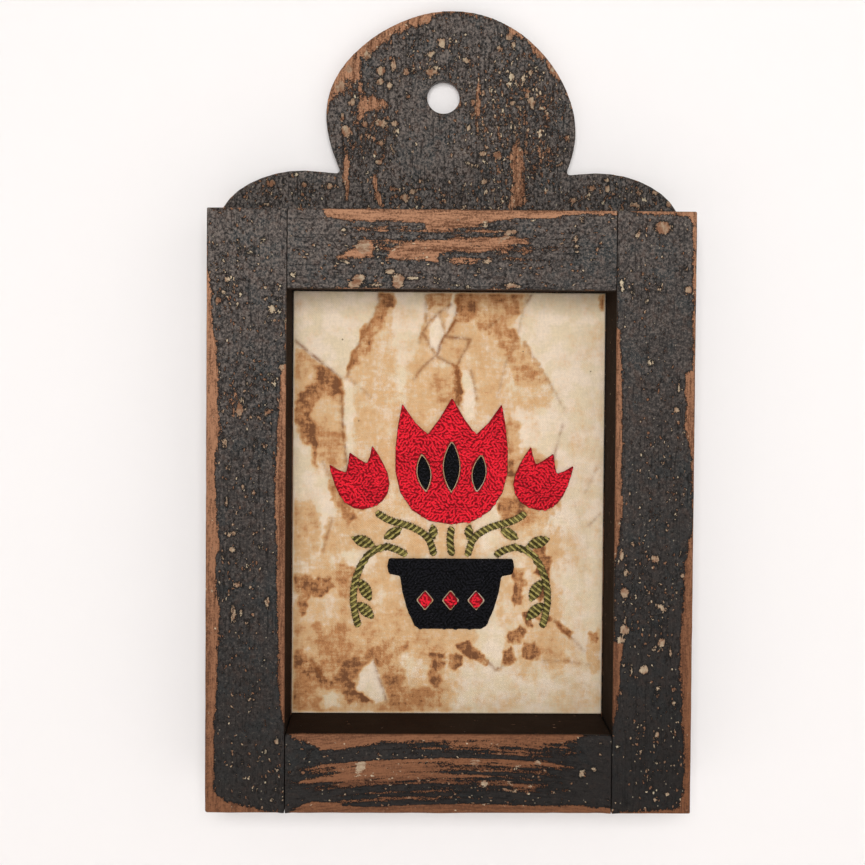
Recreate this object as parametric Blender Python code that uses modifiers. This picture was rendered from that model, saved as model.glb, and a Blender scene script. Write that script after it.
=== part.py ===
"""Framed needle punch sampler: a butt-jointed wooden frame on a thin backboard with a sawn crest,
a cloth ground in its opening, and a pot of flowers punched and stitched on the cloth.

Metres, +Z up, the face towards -Y. The wall is the plane y = 0, and the origin is on the axis of
the hanging hole in that plane.
"""

import math

import bmesh
import bpy
from mathutils import Vector

# Frame and backboard
OPENING_W = 0.1270
OPENING_H = 0.1724
MEMBER_W = 0.0308
MEMBER_D = 0.0318
BOARD_T = 0.0064
FIT = 0.0003
FRAME_W = OPENING_W + 2 * MEMBER_W
FRAME_H = OPENING_H + 2 * MEMBER_W
EDGE_EASE = 0.0008
BOARD_EASE = 0.0006

# Where the frame lies from the hanging hole
FRAME_X = 0.0031
FRAME_TOP = -0.0479
FRAME_BOTTOM = FRAME_TOP - FRAME_H
MEMBER_BACK = -BOARD_T - FIT
MEMBER_Y = MEMBER_BACK - MEMBER_D / 2
OPENING_BOTTOM = FRAME_BOTTOM + MEMBER_W

# Crest of the backboard, sizes from the middle of the frame's top edge
HOLE_D = 0.0132
HOLE_STEPS = 24
HEAD_RX = 0.0506
HEAD_RZ = 0.0456
HEAD_RISE = 0.0372
HEAD_PINCH = 0.083
HEAD_STEPS = 44
HEAD_LEAN = 0.0011
HEAD_LEAN_PERIOD = 0.078
PLATEAU_RISE = 0.0179
PLATEAU_HALF = 0.0590
SHOULDER_DROP = 0.0233
SHOULDER_STEPS = 9
NICK = 0.0010

# Cloth ground
CLOTH_T = 0.0014
CLOTH_W = OPENING_W - 2 * FIT
CLOTH_H = OPENING_H - 2 * FIT
CLOTH_BACK = -BOARD_T - FIT
CLOTH_CELLS = (32, 42)
DEEPEST_TROUGH = 0.40
TALLEST_RIDGE = 0.80
WORK_HALF_W = 0.0485
WORK_HALF_H = 0.0500
WORK_MIDDLE = 0.0470
WORK_FADE = 0.12

# Punched and stitched work, measured on the cloth from the foot of the pot
WORK_X = FRAME_X + 0.0012
WORK_Z = FRAME_BOTTOM + 0.0660
WORK_Y = CLOTH_BACK - CLOTH_T - FIT
PILE_H = 0.0024
STITCH_H = 0.0014
PILE_EDGE = 0.0005
STITCH_EDGE = 0.0004
STEM_HALF = 0.0013
STEM_TIP = 0.6
PIECE_GAP = 0.0004
DIAMOND_ROOM = 0.6
SEED_SHORTER = 1.0
MM = 0.001

# Corners sharper than these angles, in degrees, are eased
SQUARED_ANGLE = 30
SAWN_ANGLE = 40
PAD_ANGLE = 50

# The cloth's soft creases. x and z run from the middle of the cloth in millimetres, angle is in
# degrees from level, rise is the height of a ridge, or of a trough where it is below zero.
CREASES = (
    # x, z, angle, length, width, rise
    (-41.0, 58.0, 64.0, 44.0, 8.0, 0.75),
    (-30.0, 66.0, 120.0, 40.0, 8.0, -0.40),
    (-9.0, 69.0, 72.0, 36.0, 7.0, 0.70),
    (9.0, 62.0, 128.0, 34.0, 7.0, 0.60),
    (26.0, 70.0, 38.0, 34.0, 8.0, -0.40),
    (54.0, 44.0, 98.0, 60.0, 8.0, 0.55),
    (57.0, -16.0, 84.0, 70.0, 8.0, -0.40),
    (-57.0, 24.0, 102.0, 50.0, 7.0, 0.70),
    (-55.0, -24.0, 70.0, 44.0, 7.0, 0.60),
    (-46.0, -62.0, 32.0, 42.0, 8.0, 0.75),
    (-18.0, -68.0, 152.0, 44.0, 8.0, 0.70),
    (16.0, -73.0, 18.0, 44.0, 7.0, -0.40),
    (42.0, -64.0, 142.0, 40.0, 8.0, 0.65),
)

# Half of a flower's outline in millimetres, from its foot up to its middle tip.
FLOWER_HALF = (
    # across, up
    (0.0, 0.0),
    (9.0, 1.4),
    (16.0, 5.8),
    (20.8, 13.0),
    (22.8, 21.5),
    (22.8, 31.0),
    (21.8, 40.5),
    (20.2, 49.0),
    (15.0, 41.5),
    (9.8, 36.5),
    (5.0, 43.0),
    (0.0, 51.5),
)
FLOWER_FOOT = (0.0, 42.6)
BUD_SCALE = 0.47
BUD_FOOT = (31.6, 49.6)
BUD_TURN = 24.0

# Half of the pot's outline in millimetres, from its foot up to its rim.
POT_HALF = (
    # across, up
    (0.0, 0.0),
    (12.5, 0.0),
    (14.6, 1.2),
    (17.6, 8.0),
    (19.6, 15.0),
    (20.6, 21.5),
    (25.2, 22.4),
    (25.8, 25.5),
    (25.2, 28.6),
    (0.0, 28.6),
)

# Lens-shaped inlays, in millimetres and degrees from upright.
SEEDS = (
    # name, across, up, length, width, turn
    ("seed_middle", 0.0, 66.0, 21.0, 6.4, 0.0),
    ("seed_left", -11.2, 63.5, 15.5, 5.2, 7.0),
    ("seed_right", 11.2, 63.5, 15.5, 5.2, -7.0),
)
DIAMONDS = (
    # name, across, up, length, width
    ("diamond_left", -10.4, 11.6, 7.6, 6.2),
    ("diamond_middle", 0.0, 11.6, 7.6, 6.2),
    ("diamond_right", 10.4, 11.6, 7.6, 6.2),
)
SEED_STEPS = 9

# Stitched stems, as the points that each passes through, in millimetres. Those with a side are
# made twice, once to each side.
CENTRE_STEM = ((0.4, 30.3), (-0.3, 36.0), (0.2, 41.0))
SIDE_STEM = ((7.0, 30.3), (9.4, 37.0), (16.0, 41.4), (25.0, 44.0), (30.0, 47.0))
SPRIG = ((18.5, 30.3), (26.0, 33.4), (34.0, 29.6), (38.6, 20.5), (39.6, 10.5), (37.6, 1.0))
STEM_POINTS = 11

# Leaves on the stems: how far along the stem, which side of it, its size and its lean.
SIDE_LEAVES = (
    # along, side, length, width, lean
    (0.20, 1.0, 6.0, 3.4, 24.0),
    (0.62, -1.0, 8.5, 4.2, 46.0),
)
SPRIG_LEAVES = (
    # along, side, length, width, lean
    (0.34, 1.0, 10.0, 4.6, 44.0),
    (0.56, -1.0, 10.0, 4.6, 42.0),
    (0.78, -1.0, 9.5, 4.4, 40.0),
)
LEAF_STEPS = 6

FINISHES = {
    # name: (red, green, blue), roughness
    "black_paint": ((0.045, 0.042, 0.041), 0.55),
    "muslin": ((0.62, 0.48, 0.32), 0.95),
    "red_yarn": ((0.55, 0.02, 0.03), 0.9),
    "black_yarn": ((0.012, 0.012, 0.016), 0.9),
    "olive_thread": ((0.19, 0.17, 0.05), 0.85),
}


def clear_scene():
    for obj in list(bpy.data.objects):
        bpy.data.objects.remove(obj, do_unlink=True)


def make_finish(name):
    colour, roughness = FINISHES[name]
    material = bpy.data.materials.new(name)
    material.use_nodes = True
    shader = material.node_tree.nodes["Principled BSDF"]
    shader.inputs["Base Color"].default_value = (*colour, 1.0)
    shader.inputs["Roughness"].default_value = roughness
    shader.inputs["Metallic"].default_value = 0.0
    return material


def add_object(name, mesh, finish):
    """A mesh object in the sampler's collection, with a material of its own."""
    obj = bpy.data.objects.new(name, mesh)
    PARTS.objects.link(obj)
    material = FINISH_MATERIALS[finish].copy()
    material.name = name + "_" + finish
    obj.data.materials.append(material)
    return obj


def ease_edges(obj, width, segments, angle):
    bevel = obj.modifiers.new("eased edges", "BEVEL")
    bevel.width = width
    bevel.segments = segments
    bevel.limit_method = "ANGLE"
    bevel.angle_limit = math.radians(angle)


def make_block(name, size, centre, finish):
    """A squared length of wood with eased edges."""
    mesh = bpy.data.meshes.new(name)
    bm = bmesh.new()
    bmesh.ops.create_cube(bm, size=1.0)
    bmesh.ops.scale(bm, vec=Vector(size), verts=bm.verts)
    bm.to_mesh(mesh)
    bm.free()
    obj = add_object(name, mesh, finish)
    obj.location = centre
    ease_edges(obj, EDGE_EASE, 2, SQUARED_ANGLE)
    return obj


def plate_mesh(name, outlines, thickness):
    """A flat plate in the XZ plane, from y = 0 forward. Outlines after the first are holes in it."""
    curve = bpy.data.curves.new(name, "CURVE")
    curve.dimensions = "2D"
    curve.fill_mode = "BOTH"
    curve.extrude = thickness / 2
    for outline in outlines:
        spline = curve.splines.new("POLY")
        spline.points.add(len(outline) - 1)
        for point, (x, z) in zip(spline.points, outline):
            point.co = (x, z, 0.0, 1.0)
        spline.use_cyclic_u = True
    guide = bpy.data.objects.new(name, curve)
    guide.rotation_euler = (math.radians(90), 0.0, 0.0)
    guide.location = (0.0, -thickness / 2, 0.0)
    bpy.context.scene.collection.objects.link(guide)
    bpy.context.view_layer.update()
    graph = bpy.context.evaluated_depsgraph_get()
    mesh = bpy.data.meshes.new_from_object(guide.evaluated_get(graph))
    mesh.transform(guide.matrix_world)
    bm = bmesh.new()
    bm.from_mesh(mesh)
    bmesh.ops.remove_doubles(bm, verts=bm.verts, dist=0.00001)
    bmesh.ops.recalc_face_normals(bm, faces=bm.faces)
    bm.to_mesh(mesh)
    bm.free()
    bpy.data.objects.remove(guide, do_unlink=True)
    mesh.materials.clear()
    return mesh


def head_point(turn):
    """A point of the crest's head from its middle: an ellipse, a little drawn in towards its top."""
    upward = max(0.0, math.sin(turn))
    x = HEAD_RX * math.cos(turn) * (1 - HEAD_PINCH * upward**2)
    z = HEAD_RZ * math.sin(turn)
    return x, z


def crest_outline():
    """The backboard's outline, from the frame's top middle: shoulders, nicks and a round head."""
    half = FRAME_W / 2
    run = half - PLATEAU_HALF
    right = []
    for step in range(SHOULDER_STEPS + 1):
        turn = math.radians(90) * step / SHOULDER_STEPS
        x = PLATEAU_HALF + run * math.cos(turn)
        z = PLATEAU_RISE - SHOULDER_DROP + SHOULDER_DROP * math.sin(turn)
        right.append((x, z))
    low = PLATEAU_RISE - HEAD_RISE
    start = math.asin(low / HEAD_RZ)
    head = []
    for step in range(HEAD_STEPS + 1):
        turn = start + (math.pi - 2 * start) * step / HEAD_STEPS
        x, z = head_point(turn)
        lean = HEAD_LEAN * math.cos(2 * math.pi * (z - low) / HEAD_LEAN_PERIOD)
        head.append((x + lean, z + HEAD_RISE))
    head[0] = (head[0][0], head[0][1] - NICK)
    head[-1] = (head[-1][0], head[-1][1] - NICK)
    left = [(-x, z) for x, z in reversed(right)]
    feet = [(-half, -FRAME_H), (half, -FRAME_H)]
    return right + head + left + feet


def make_backboard():
    outline = [(x + FRAME_X, z + FRAME_TOP) for x, z in crest_outline()]
    hole = []
    for step in range(HOLE_STEPS):
        turn = 2 * math.pi * step / HOLE_STEPS
        hole.append((HOLE_D / 2 * math.cos(turn), HOLE_D / 2 * math.sin(turn)))
    obj = add_object("backboard", plate_mesh("backboard", (outline, hole), BOARD_T), "black_paint")
    ease_edges(obj, BOARD_EASE, 2, SAWN_ANGLE)
    return obj


def make_frame():
    middle = FRAME_TOP - FRAME_H / 2
    stile = (MEMBER_W - FIT / 2, MEMBER_D, FRAME_H)
    rail = (OPENING_W - FIT, MEMBER_D, MEMBER_W)
    reach = OPENING_W / 2 + MEMBER_W / 2 + FIT / 4
    top = FRAME_TOP - MEMBER_W / 2
    bottom = FRAME_BOTTOM + MEMBER_W / 2
    make_block("stile_left", stile, (FRAME_X - reach, MEMBER_Y, middle), "black_paint")
    make_block("stile_right", stile, (FRAME_X + reach, MEMBER_Y, middle), "black_paint")
    make_block("rail_top", rail, (FRAME_X, MEMBER_Y, top), "black_paint")
    make_block("rail_bottom", rail, (FRAME_X, MEMBER_Y, bottom), "black_paint")


def crease_rise(x, z):
    """How far the cloth stands forward at a point, in metres, from the table of creases."""
    total = 0.0
    for across, up, angle, length, width, rise in CREASES:
        turn = math.radians(angle)
        dx = x / MM - across
        dz = z / MM - up
        along = dx * math.cos(turn) + dz * math.sin(turn)
        aside = -dx * math.sin(turn) + dz * math.cos(turn)
        total += rise * math.exp(-((2 * aside / width) ** 2) - (2 * along / length) ** 4)
    return max(-DEEPEST_TROUGH, min(TALLEST_RIDGE, total)) * MM


def work_clearance(x, z):
    """1 where the cloth may stand forward, falling to 0 under the punched and stitched work."""
    work_x = WORK_X - FRAME_X
    work_z = WORK_Z + WORK_MIDDLE - OPENING_BOTTOM - OPENING_H / 2
    far = max(abs(x - work_x) / WORK_HALF_W, abs(z - work_z) / WORK_HALF_H)
    return min(1.0, max(0.0, (far - 1.0) / WORK_FADE))


def make_cloth():
    columns, rows = CLOTH_CELLS
    mesh = bpy.data.meshes.new("cloth")
    bm = bmesh.new()
    bmesh.ops.create_grid(bm, x_segments=columns, y_segments=rows, size=0.5)
    front = list(bm.verts)
    for vert in front:
        x = vert.co.x * CLOTH_W
        z = vert.co.y * CLOTH_H
        rise = crease_rise(x, z)
        if rise > 0:
            rise *= work_clearance(x, z)
        vert.co = (x, -CLOTH_T - rise, z)
    made = bmesh.ops.extrude_face_region(bm, geom=list(bm.faces))
    back = [item for item in made["geom"] if isinstance(item, bmesh.types.BMVert)]
    for vert in back:
        vert.co.y = 0.0
    bmesh.ops.recalc_face_normals(bm, faces=bm.faces)
    back_edges = [e for e in bm.edges if all(v.co.y == 0.0 for v in e.verts) and not e.is_boundary]
    inner = [e for e in back_edges if all(abs(f.normal.y) > 0.5 for f in e.link_faces)]
    bmesh.ops.dissolve_edges(bm, edges=inner, use_verts=True)
    bm.to_mesh(mesh)
    bm.free()
    obj = add_object("cloth", mesh, "muslin")
    obj.location = (FRAME_X, CLOTH_BACK, OPENING_BOTTOM + OPENING_H / 2)
    return obj


def mirrored(half):
    """A closed outline from its right half, which starts and ends on the middle line."""
    left = [(-x, z) for x, z in reversed(half[1:-1])]
    return list(half) + left


def placed(outline, across, up, turn=0.0, scale=1.0):
    """An outline in millimetres, turned, scaled and moved to its place on the cloth, in metres."""
    angle = math.radians(turn)
    out = []
    for x, z in outline:
        px = scale * (x * math.cos(angle) - z * math.sin(angle)) + across
        pz = scale * (x * math.sin(angle) + z * math.cos(angle)) + up
        out.append((px * MM, pz * MM))
    return out


def lens(length, width, steps, grow=0.0):
    """A pointed oval about its middle, upright, in millimetres."""
    half = length / 2 + grow
    right = []
    for step in range(steps + 1):
        z = -half + 2 * half * step / steps
        x = (width / 2 + grow) * (1 - (z / half) ** 2)
        right.append((x, z))
    return mirrored(right)


def diamond(length, width, grow=0.0):
    return [
        (0.0, -length / 2 - grow),
        (width / 2 + grow, 0.0),
        (0.0, length / 2 + grow),
        (-width / 2 - grow, 0.0),
    ]


def smooth_line(points, count):
    """Evenly stepped points of a smooth curve through the given ones."""
    ends = [points[0]] + list(points) + [points[-1]]
    line = []
    for step in range(count):
        place = step / (count - 1) * (len(points) - 1)
        index = min(int(place), len(points) - 2)
        t = place - index
        a, b, c, d = (Vector(p) for p in ends[index : index + 4])
        part = 2 * b + (c - a) * t
        part += (2 * a - 5 * b + 4 * c - d) * t * t
        part += (3 * b - a - 3 * c + d) * t * t * t
        line.append(part / 2)
    return line


def line_frame(line, index):
    """The unit direction of the line at one of its points, and the unit normal on its left."""
    before = line[max(index - 1, 0)]
    after = line[min(index + 1, len(line) - 1)]
    along = (after - before).normalized()
    return along, Vector((-along.y, along.x))


def ribbon(line):
    """The outline of a stitched line of even width with blunt round ends, in millimetres."""
    half = STEM_HALF / MM
    left, right = [], []
    for index in range(len(line)):
        _, normal = line_frame(line, index)
        left.append(line[index] + normal * half)
        right.append(line[index] - normal * half)
    start_along, _ = line_frame(line, 0)
    end_along, _ = line_frame(line, len(line) - 1)
    start = line[0] - start_along * half * STEM_TIP
    end = line[-1] + end_along * half * STEM_TIP
    return [tuple(p) for p in [start] + right + [end] + list(reversed(left))]


def make_pad(name, outlines, height, edge, finish):
    """A raised area of pile or stitches on the cloth."""
    obj = add_object(name, plate_mesh(name, outlines, height), finish)
    obj.location = (WORK_X, WORK_Y, WORK_Z)
    ease_edges(obj, edge, 1, PAD_ANGLE)
    return obj


def make_pot():
    outlines = [placed(mirrored(POT_HALF), 0.0, 0.0)]
    for name, across, up, length, width in DIAMONDS:
        outlines.append(placed(diamond(length, width, DIAMOND_ROOM), across, up))
        make_pad(name, [placed(diamond(length, width), across, up)], PILE_H, PILE_EDGE, "red_yarn")
    make_pad("pot", outlines, PILE_H, PILE_EDGE, "black_yarn")


def make_flower():
    gap = PIECE_GAP / MM
    outlines = [placed(mirrored(FLOWER_HALF), *FLOWER_FOOT)]
    for name, across, up, length, width, turn in SEEDS:
        outlines.append(placed(lens(length, width, SEED_STEPS, gap), across, up, turn))
        seed = placed(lens(length - SEED_SHORTER, width, SEED_STEPS), across, up, turn)
        make_pad(name, [seed], PILE_H, PILE_EDGE, "black_yarn")
    make_pad("flower", outlines, PILE_H, PILE_EDGE, "red_yarn")


def make_buds():
    outline = mirrored(FLOWER_HALF)
    across, up = BUD_FOOT
    for name, side in (("bud_left", -1.0), ("bud_right", 1.0)):
        bud = placed(outline, side * across, up, -side * BUD_TURN, BUD_SCALE)
        make_pad(name, [bud], PILE_H, PILE_EDGE, "red_yarn")


def make_leaf(name, line, along, side, length, width, lean):
    """A leaf whose base is just clear of its stem's edge, leaning forward along the stem."""
    index = round(along * (len(line) - 1))
    forward, normal = line_frame(line, index)
    turn = math.radians(lean)
    axis = forward * math.cos(turn) + normal * side * math.sin(turn)
    base = line[index] + normal * side * (STEM_HALF + PIECE_GAP) / MM
    middle = base + axis * length / 2
    upright = math.degrees(math.atan2(-axis.x, axis.y))
    outline = placed(lens(length, width, LEAF_STEPS), middle.x, middle.y, upright)
    make_pad(name, [outline], STITCH_H, STITCH_EDGE, "olive_thread")


def make_stem(name, points, side, leaves):
    line = smooth_line([(side * x, z) for x, z in points], STEM_POINTS)
    make_pad(name, [placed(ribbon(line), 0.0, 0.0)], STITCH_H, STITCH_EDGE, "olive_thread")
    for number, (along, way, length, width, lean) in enumerate(leaves, 1):
        leaf = name + "_leaf_" + str(number)
        make_leaf(leaf, line, along, way * side, length, width, lean)


def make_stems():
    make_stem("stem_centre", CENTRE_STEM, 1.0, ())
    for word, side in (("left", -1.0), ("right", 1.0)):
        make_stem("stem_" + word, SIDE_STEM, side, SIDE_LEAVES)
        make_stem("sprig_" + word, SPRIG, side, SPRIG_LEAVES)


clear_scene()
PARTS = bpy.data.collections.new("framed_needle_punch_sampler")
bpy.context.scene.collection.children.link(PARTS)
FINISH_MATERIALS = {name: make_finish(name) for name in FINISHES}

make_frame()
make_backboard()
make_cloth()
make_pot()
make_flower()
make_buds()
make_stems()

for finish in FINISH_MATERIALS.values():
    bpy.data.materials.remove(finish)
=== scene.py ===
# %% [markdown]
# The looks of a framed needle punch sampler. The solids of the sampler are already made: a frame of
# four boards, a backboard with a round crest, a stained cloth and the punched and stitched work on
# it. This script dresses them. Each cell says what one piece or finish is on the real object, then
# makes it in the same place and at the same size as its solid.

# %% Load the frame
import math

import bmesh
import bpy
import numpy as np
from mathutils import Matrix, Vector, kdtree, noise
from mathutils.bvhtree import BVHTree


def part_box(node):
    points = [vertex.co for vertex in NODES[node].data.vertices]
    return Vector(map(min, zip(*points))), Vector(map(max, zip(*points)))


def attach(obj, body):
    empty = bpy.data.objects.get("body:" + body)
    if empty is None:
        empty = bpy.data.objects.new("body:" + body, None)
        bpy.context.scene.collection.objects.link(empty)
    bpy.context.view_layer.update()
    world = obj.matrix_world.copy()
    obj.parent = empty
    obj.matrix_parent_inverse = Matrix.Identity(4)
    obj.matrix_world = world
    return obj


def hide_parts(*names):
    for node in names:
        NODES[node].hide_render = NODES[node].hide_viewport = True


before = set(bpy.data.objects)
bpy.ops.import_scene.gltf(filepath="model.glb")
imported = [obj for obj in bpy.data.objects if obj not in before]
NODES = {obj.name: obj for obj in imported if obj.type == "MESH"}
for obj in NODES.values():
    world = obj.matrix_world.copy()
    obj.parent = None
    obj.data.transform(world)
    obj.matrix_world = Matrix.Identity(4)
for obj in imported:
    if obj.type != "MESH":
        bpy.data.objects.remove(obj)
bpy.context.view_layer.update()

BODY = "root"
MM = 0.001

# %% [markdown]
# Wear, stains and creases are easiest to place in one plan of the object: millimetres from the
# middle of the frame's foot, with the depth measured back from the front of the boards. All the
# sizes of that plan are read from the solids, so nothing here can drift away from them.

# %% The plan of the object
stile_low, stile_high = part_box("stile_left")
MIDDLE_X = (stile_low.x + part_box("stile_right")[1].x) / 2
FOOT_Z = stile_low.z
FRONT_Y = stile_low.y
HALF_W = (MIDDLE_X - stile_low.x) / MM
FRAME_TALL = (stile_high.z - stile_low.z) / MM
OPEN_HALF_W = (MIDDLE_X - stile_high.x) / MM
OPEN_LOW = (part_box("rail_bottom")[1].z - FOOT_Z) / MM
OPEN_HIGH = (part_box("rail_top")[0].z - FOOT_Z) / MM
BOARD_FRONT_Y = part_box("backboard")[0].y


def plan(points):
    """Millimetres across from the frame's middle, and up from its foot."""
    return (points[:, 0] - MIDDLE_X) / MM, (points[:, 2] - FOOT_Z) / MM


print("frame half width and height in mm:", round(HALF_W, 2), round(FRAME_TALL, 2))

# %% [markdown]
# The camera stands level with the top of the cloth and about 60 cm in front of the wall, looking
# slightly down and to the right. Place, turn and lens come from the corners of the frame, of the
# opening and of the crest in the photograph, so the model and the picture line up.

# %% Camera
CAMERA_PLACE = (-0.0135, -0.5985, -0.0924)
CAMERA_TILT = -1.502
CAMERA_YAW = 0.947
CAMERA_ROLL = 0.428
CAMERA_LENS = 60.57
CAMERA_SHIFT_Y = -0.08
CAMERA_NEAR = 0.01


def add_object(name, data):
    """A new object, linked to the scene."""
    made = bpy.data.objects.new(name, data)
    bpy.context.scene.collection.objects.link(made)
    return made


def make_camera():
    """A camera that looks along +Y, tilted down, turned right and rolled by the angles above."""
    data = bpy.data.cameras.new("picture_camera")
    data.lens = CAMERA_LENS
    data.shift_y = CAMERA_SHIFT_Y
    data.clip_start = CAMERA_NEAR
    camera = add_object("picture_camera", data)
    yaw, tilt, roll = (math.radians(turn) for turn in (CAMERA_YAW, CAMERA_TILT, CAMERA_ROLL))
    ahead = Vector((math.sin(yaw) * math.cos(tilt), math.cos(yaw) * math.cos(tilt), math.sin(tilt)))
    level = Vector((math.cos(yaw), -math.sin(yaw), 0.0))
    upward = level.cross(ahead)
    right = level * math.cos(roll) + upward * math.sin(roll)
    top = upward * math.cos(roll) - level * math.sin(roll)
    turn = Matrix((right, top, -ahead)).transposed()
    camera.matrix_world = Matrix.Translation(CAMERA_PLACE) @ turn.to_4x4()
    bpy.context.scene.camera = camera
    return camera


print("camera at", [round(value, 3) for value in make_camera().matrix_world.translation])

# %% [markdown]
# Shader nodes are long to write one by one. These helpers add a node, feed its sockets with either
# a plain value or another node's output, and return the output, so that a material reads like a
# formula. Colours are given as the 0 to 255 values that an eye reads on screen.


# %% Helpers for shader nodes
def tint(red, green, blue):
    """A screen colour as the linear colour that a shader wants."""
    return tuple(((c / 255 + 0.055) / 1.055) ** 2.4 for c in (red, green, blue)) + (1.0,)


def feed(tree, socket, value):
    if isinstance(value, bpy.types.NodeSocket):
        tree.links.new(value, socket)
    else:
        socket.default_value = value


def calc(tree, operation, *values):
    made = tree.nodes.new("ShaderNodeMath")
    made.operation = operation
    for socket, value in zip(made.inputs, values):
        feed(tree, socket, value)
    return made.outputs[0]


def remap(tree, value, low, high, to_low=0.0, to_high=1.0):
    """Carries low..high to to_low..to_high with soft ends, and holds what lies outside."""
    made = tree.nodes.new("ShaderNodeMapRange")
    made.interpolation_type = "SMOOTHSTEP"
    for socket, given in zip(made.inputs, (value, low, high, to_low, to_high)):
        feed(tree, socket, given)
    return made.outputs[0]


def blend(tree, factor, first, second, how="MIX"):
    made = tree.nodes.new("ShaderNodeMix")
    made.data_type = "RGBA"
    made.blend_type = how
    feed(tree, made.inputs[0], factor)
    feed(tree, made.inputs[6], first)
    feed(tree, made.inputs[7], second)
    return made.outputs[2]


def stretch(tree, place, factors):
    """The place with each axis multiplied, so that a texture is drawn out along an axis below 1."""
    made = tree.nodes.new("ShaderNodeVectorMath")
    made.operation = "MULTIPLY"
    feed(tree, made.inputs[0], place)
    made.inputs[1].default_value = factors
    return made.outputs[0]


def speckle(tree, place, scale, detail=2.0, roughness=0.5):
    """Noise around 0, with scale as the number of its lumps in a metre."""
    made = tree.nodes.new("ShaderNodeTexNoise")
    feed(tree, made.inputs["Vector"], place)
    made.inputs["Scale"].default_value = scale
    made.inputs["Detail"].default_value = detail
    made.inputs["Roughness"].default_value = roughness
    return calc(tree, "SUBTRACT", made.outputs[0], 0.5)


def drawn_noise(tree, place, factors, scale, detail=2.0, roughness=0.5):
    """Noise around 0 that is drawn out along an axis whose factor is below 1."""
    return speckle(tree, stretch(tree, place, factors), scale, detail, roughness)


def shaken(tree, place, scale, amount):
    """The place pushed about by noise, by up to half the amount in metres."""
    made = tree.nodes.new("ShaderNodeTexNoise")
    feed(tree, made.inputs["Vector"], place)
    made.inputs["Scale"].default_value = scale
    made.inputs["Detail"].default_value = 3.0
    moved = tree.nodes.new("ShaderNodeVectorMath")
    moved.operation = "MULTIPLY_ADD"
    feed(tree, moved.inputs[0], made.outputs["Color"])
    moved.inputs[1].default_value = (amount, amount, amount)
    feed(tree, moved.inputs[2], place)
    return moved.outputs[0]


def attribute(tree, name):
    made = tree.nodes.new("ShaderNodeAttribute")
    made.attribute_name = name
    return made.outputs["Fac"]


print("bare wood seen on screen as 165, 100, 60 is", [round(c, 3) for c in tint(165, 100, 60)])

# %% [markdown]
# An effect that several materials share is a node group with named sockets. This helper makes an
# empty group. Its inner nodes then start from the group's inputs and end in its outputs.


# %% Helper for node groups
def new_group(name, inputs, outputs):
    """A shader node group, its inputs by name, and a function that feeds one of its outputs."""
    tree = bpy.data.node_groups.new(name, "ShaderNodeTree")
    for socket, kind in inputs:
        tree.interface.new_socket(socket, in_out="INPUT", socket_type="NodeSocket" + kind)
    for socket, kind in outputs:
        tree.interface.new_socket(socket, in_out="OUTPUT", socket_type="NodeSocket" + kind)
    given = tree.nodes.new("NodeGroupInput")
    result = tree.nodes.new("NodeGroupOutput")
    return tree, given.outputs, lambda socket, value: tree.links.new(value, result.inputs[socket])


def use_group(tree, group, **values):
    """Places a group in a material, feeds its inputs, and returns its outputs."""
    made = tree.nodes.new("ShaderNodeGroup")
    made.node_tree = bpy.data.node_groups[group]
    for socket, value in values.items():
        feed(tree, made.inputs[socket], value)
    return made.outputs


print("node groups so far:", len(bpy.data.node_groups))

# %% [markdown]
# Bare wood shows where the paint has gone: an orange-brown softwood with fine pores and wider
# bands, all drawn out along the board. Two noises that are stretched along the third axis give
# both, and the same value serves as the height of the raised grain.


# %% Group: bare wood grain
def make_wood_grain():
    tree, given, result = new_group(
        "wood grain",
        (("Place", "Vector"), ("Light", "Color"), ("Dark", "Color")),
        (("Color", "Color"), ("Height", "Float")),
    )
    pores = drawn_noise(tree, given["Place"], (1.0, 1.0, 0.10), 1700.0, 4.0, 0.65)
    bands = drawn_noise(tree, given["Place"], (1.0, 1.0, 0.03), 330.0, 2.0)
    height = calc(tree, "MULTIPLY_ADD", pores, 0.8, calc(tree, "MULTIPLY", bands, 0.5))
    height = calc(tree, "MULTIPLY_ADD", speckle(tree, given["Place"], 1500.0, 3.0, 0.7), 0.8, height)
    share = remap(tree, height, -0.20, 0.16)
    result("Color", blend(tree, share, given["Dark"], given["Light"]))
    result("Height", share)


make_wood_grain()
print("groups:", [group.name for group in bpy.data.node_groups])

# %% [markdown]
# Old paint leaves wood in three ways. Broad rubbing takes it off in streaks along the grain. Knocks
# lift small ragged flakes. Fine wear takes specks. Round the bare places and the flakes the paint gets
# a dark rim, a painted shadow under the raised edge of the paint. The group adds up a value for the
# rubbing, from the wear that the mesh carries and noise in four sizes, and cuts it at a half. Specks
# come from the cells of a Voronoi texture in a shaken place, small flakes from a noise that is cut
# high, both more where the mesh carries a higher chip value. The larger single flakes lie where the
# mesh says how far inside one a point is, and noise breaks up their borders.

# %% Group: paint loss
SPECK_CELLS, SPECK_SHARE, SPECK_RADIUS = 760.0, 0.50, 0.26
FLAKE_LUMPS = 600.0
FLAKE_CUT, FLAKE_MORE = 0.24, 0.16
FLAKE_SLOPE = 2.6
KNOCK_SLOPE = 0.36
KNOCK_RAGGED = 2.2
KNOCK_SHRINK = 0.30


def chip_layer(tree, place, density, cells, share, radius):
    """How deep inside a flake a point lies, from below 0 outside it to 0.3 in its middle."""
    texture = tree.nodes.new("ShaderNodeTexVoronoi")
    feed(tree, texture.inputs["Vector"], place)
    texture.inputs["Scale"].default_value = cells
    chance = tree.nodes.new("ShaderNodeSeparateColor")
    feed(tree, chance.inputs[0], texture.outputs["Color"])
    chosen = calc(tree, "LESS_THAN", chance.outputs[0], calc(tree, "MULTIPLY", density, share))
    size = calc(tree, "MULTIPLY_ADD", chance.outputs[1], radius, radius * 0.4)
    inside = calc(tree, "SUBTRACT", size, texture.outputs["Distance"])
    return calc(tree, "MULTIPLY_ADD", calc(tree, "SUBTRACT", chosen, 1.0), 2.0, inside)


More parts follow.
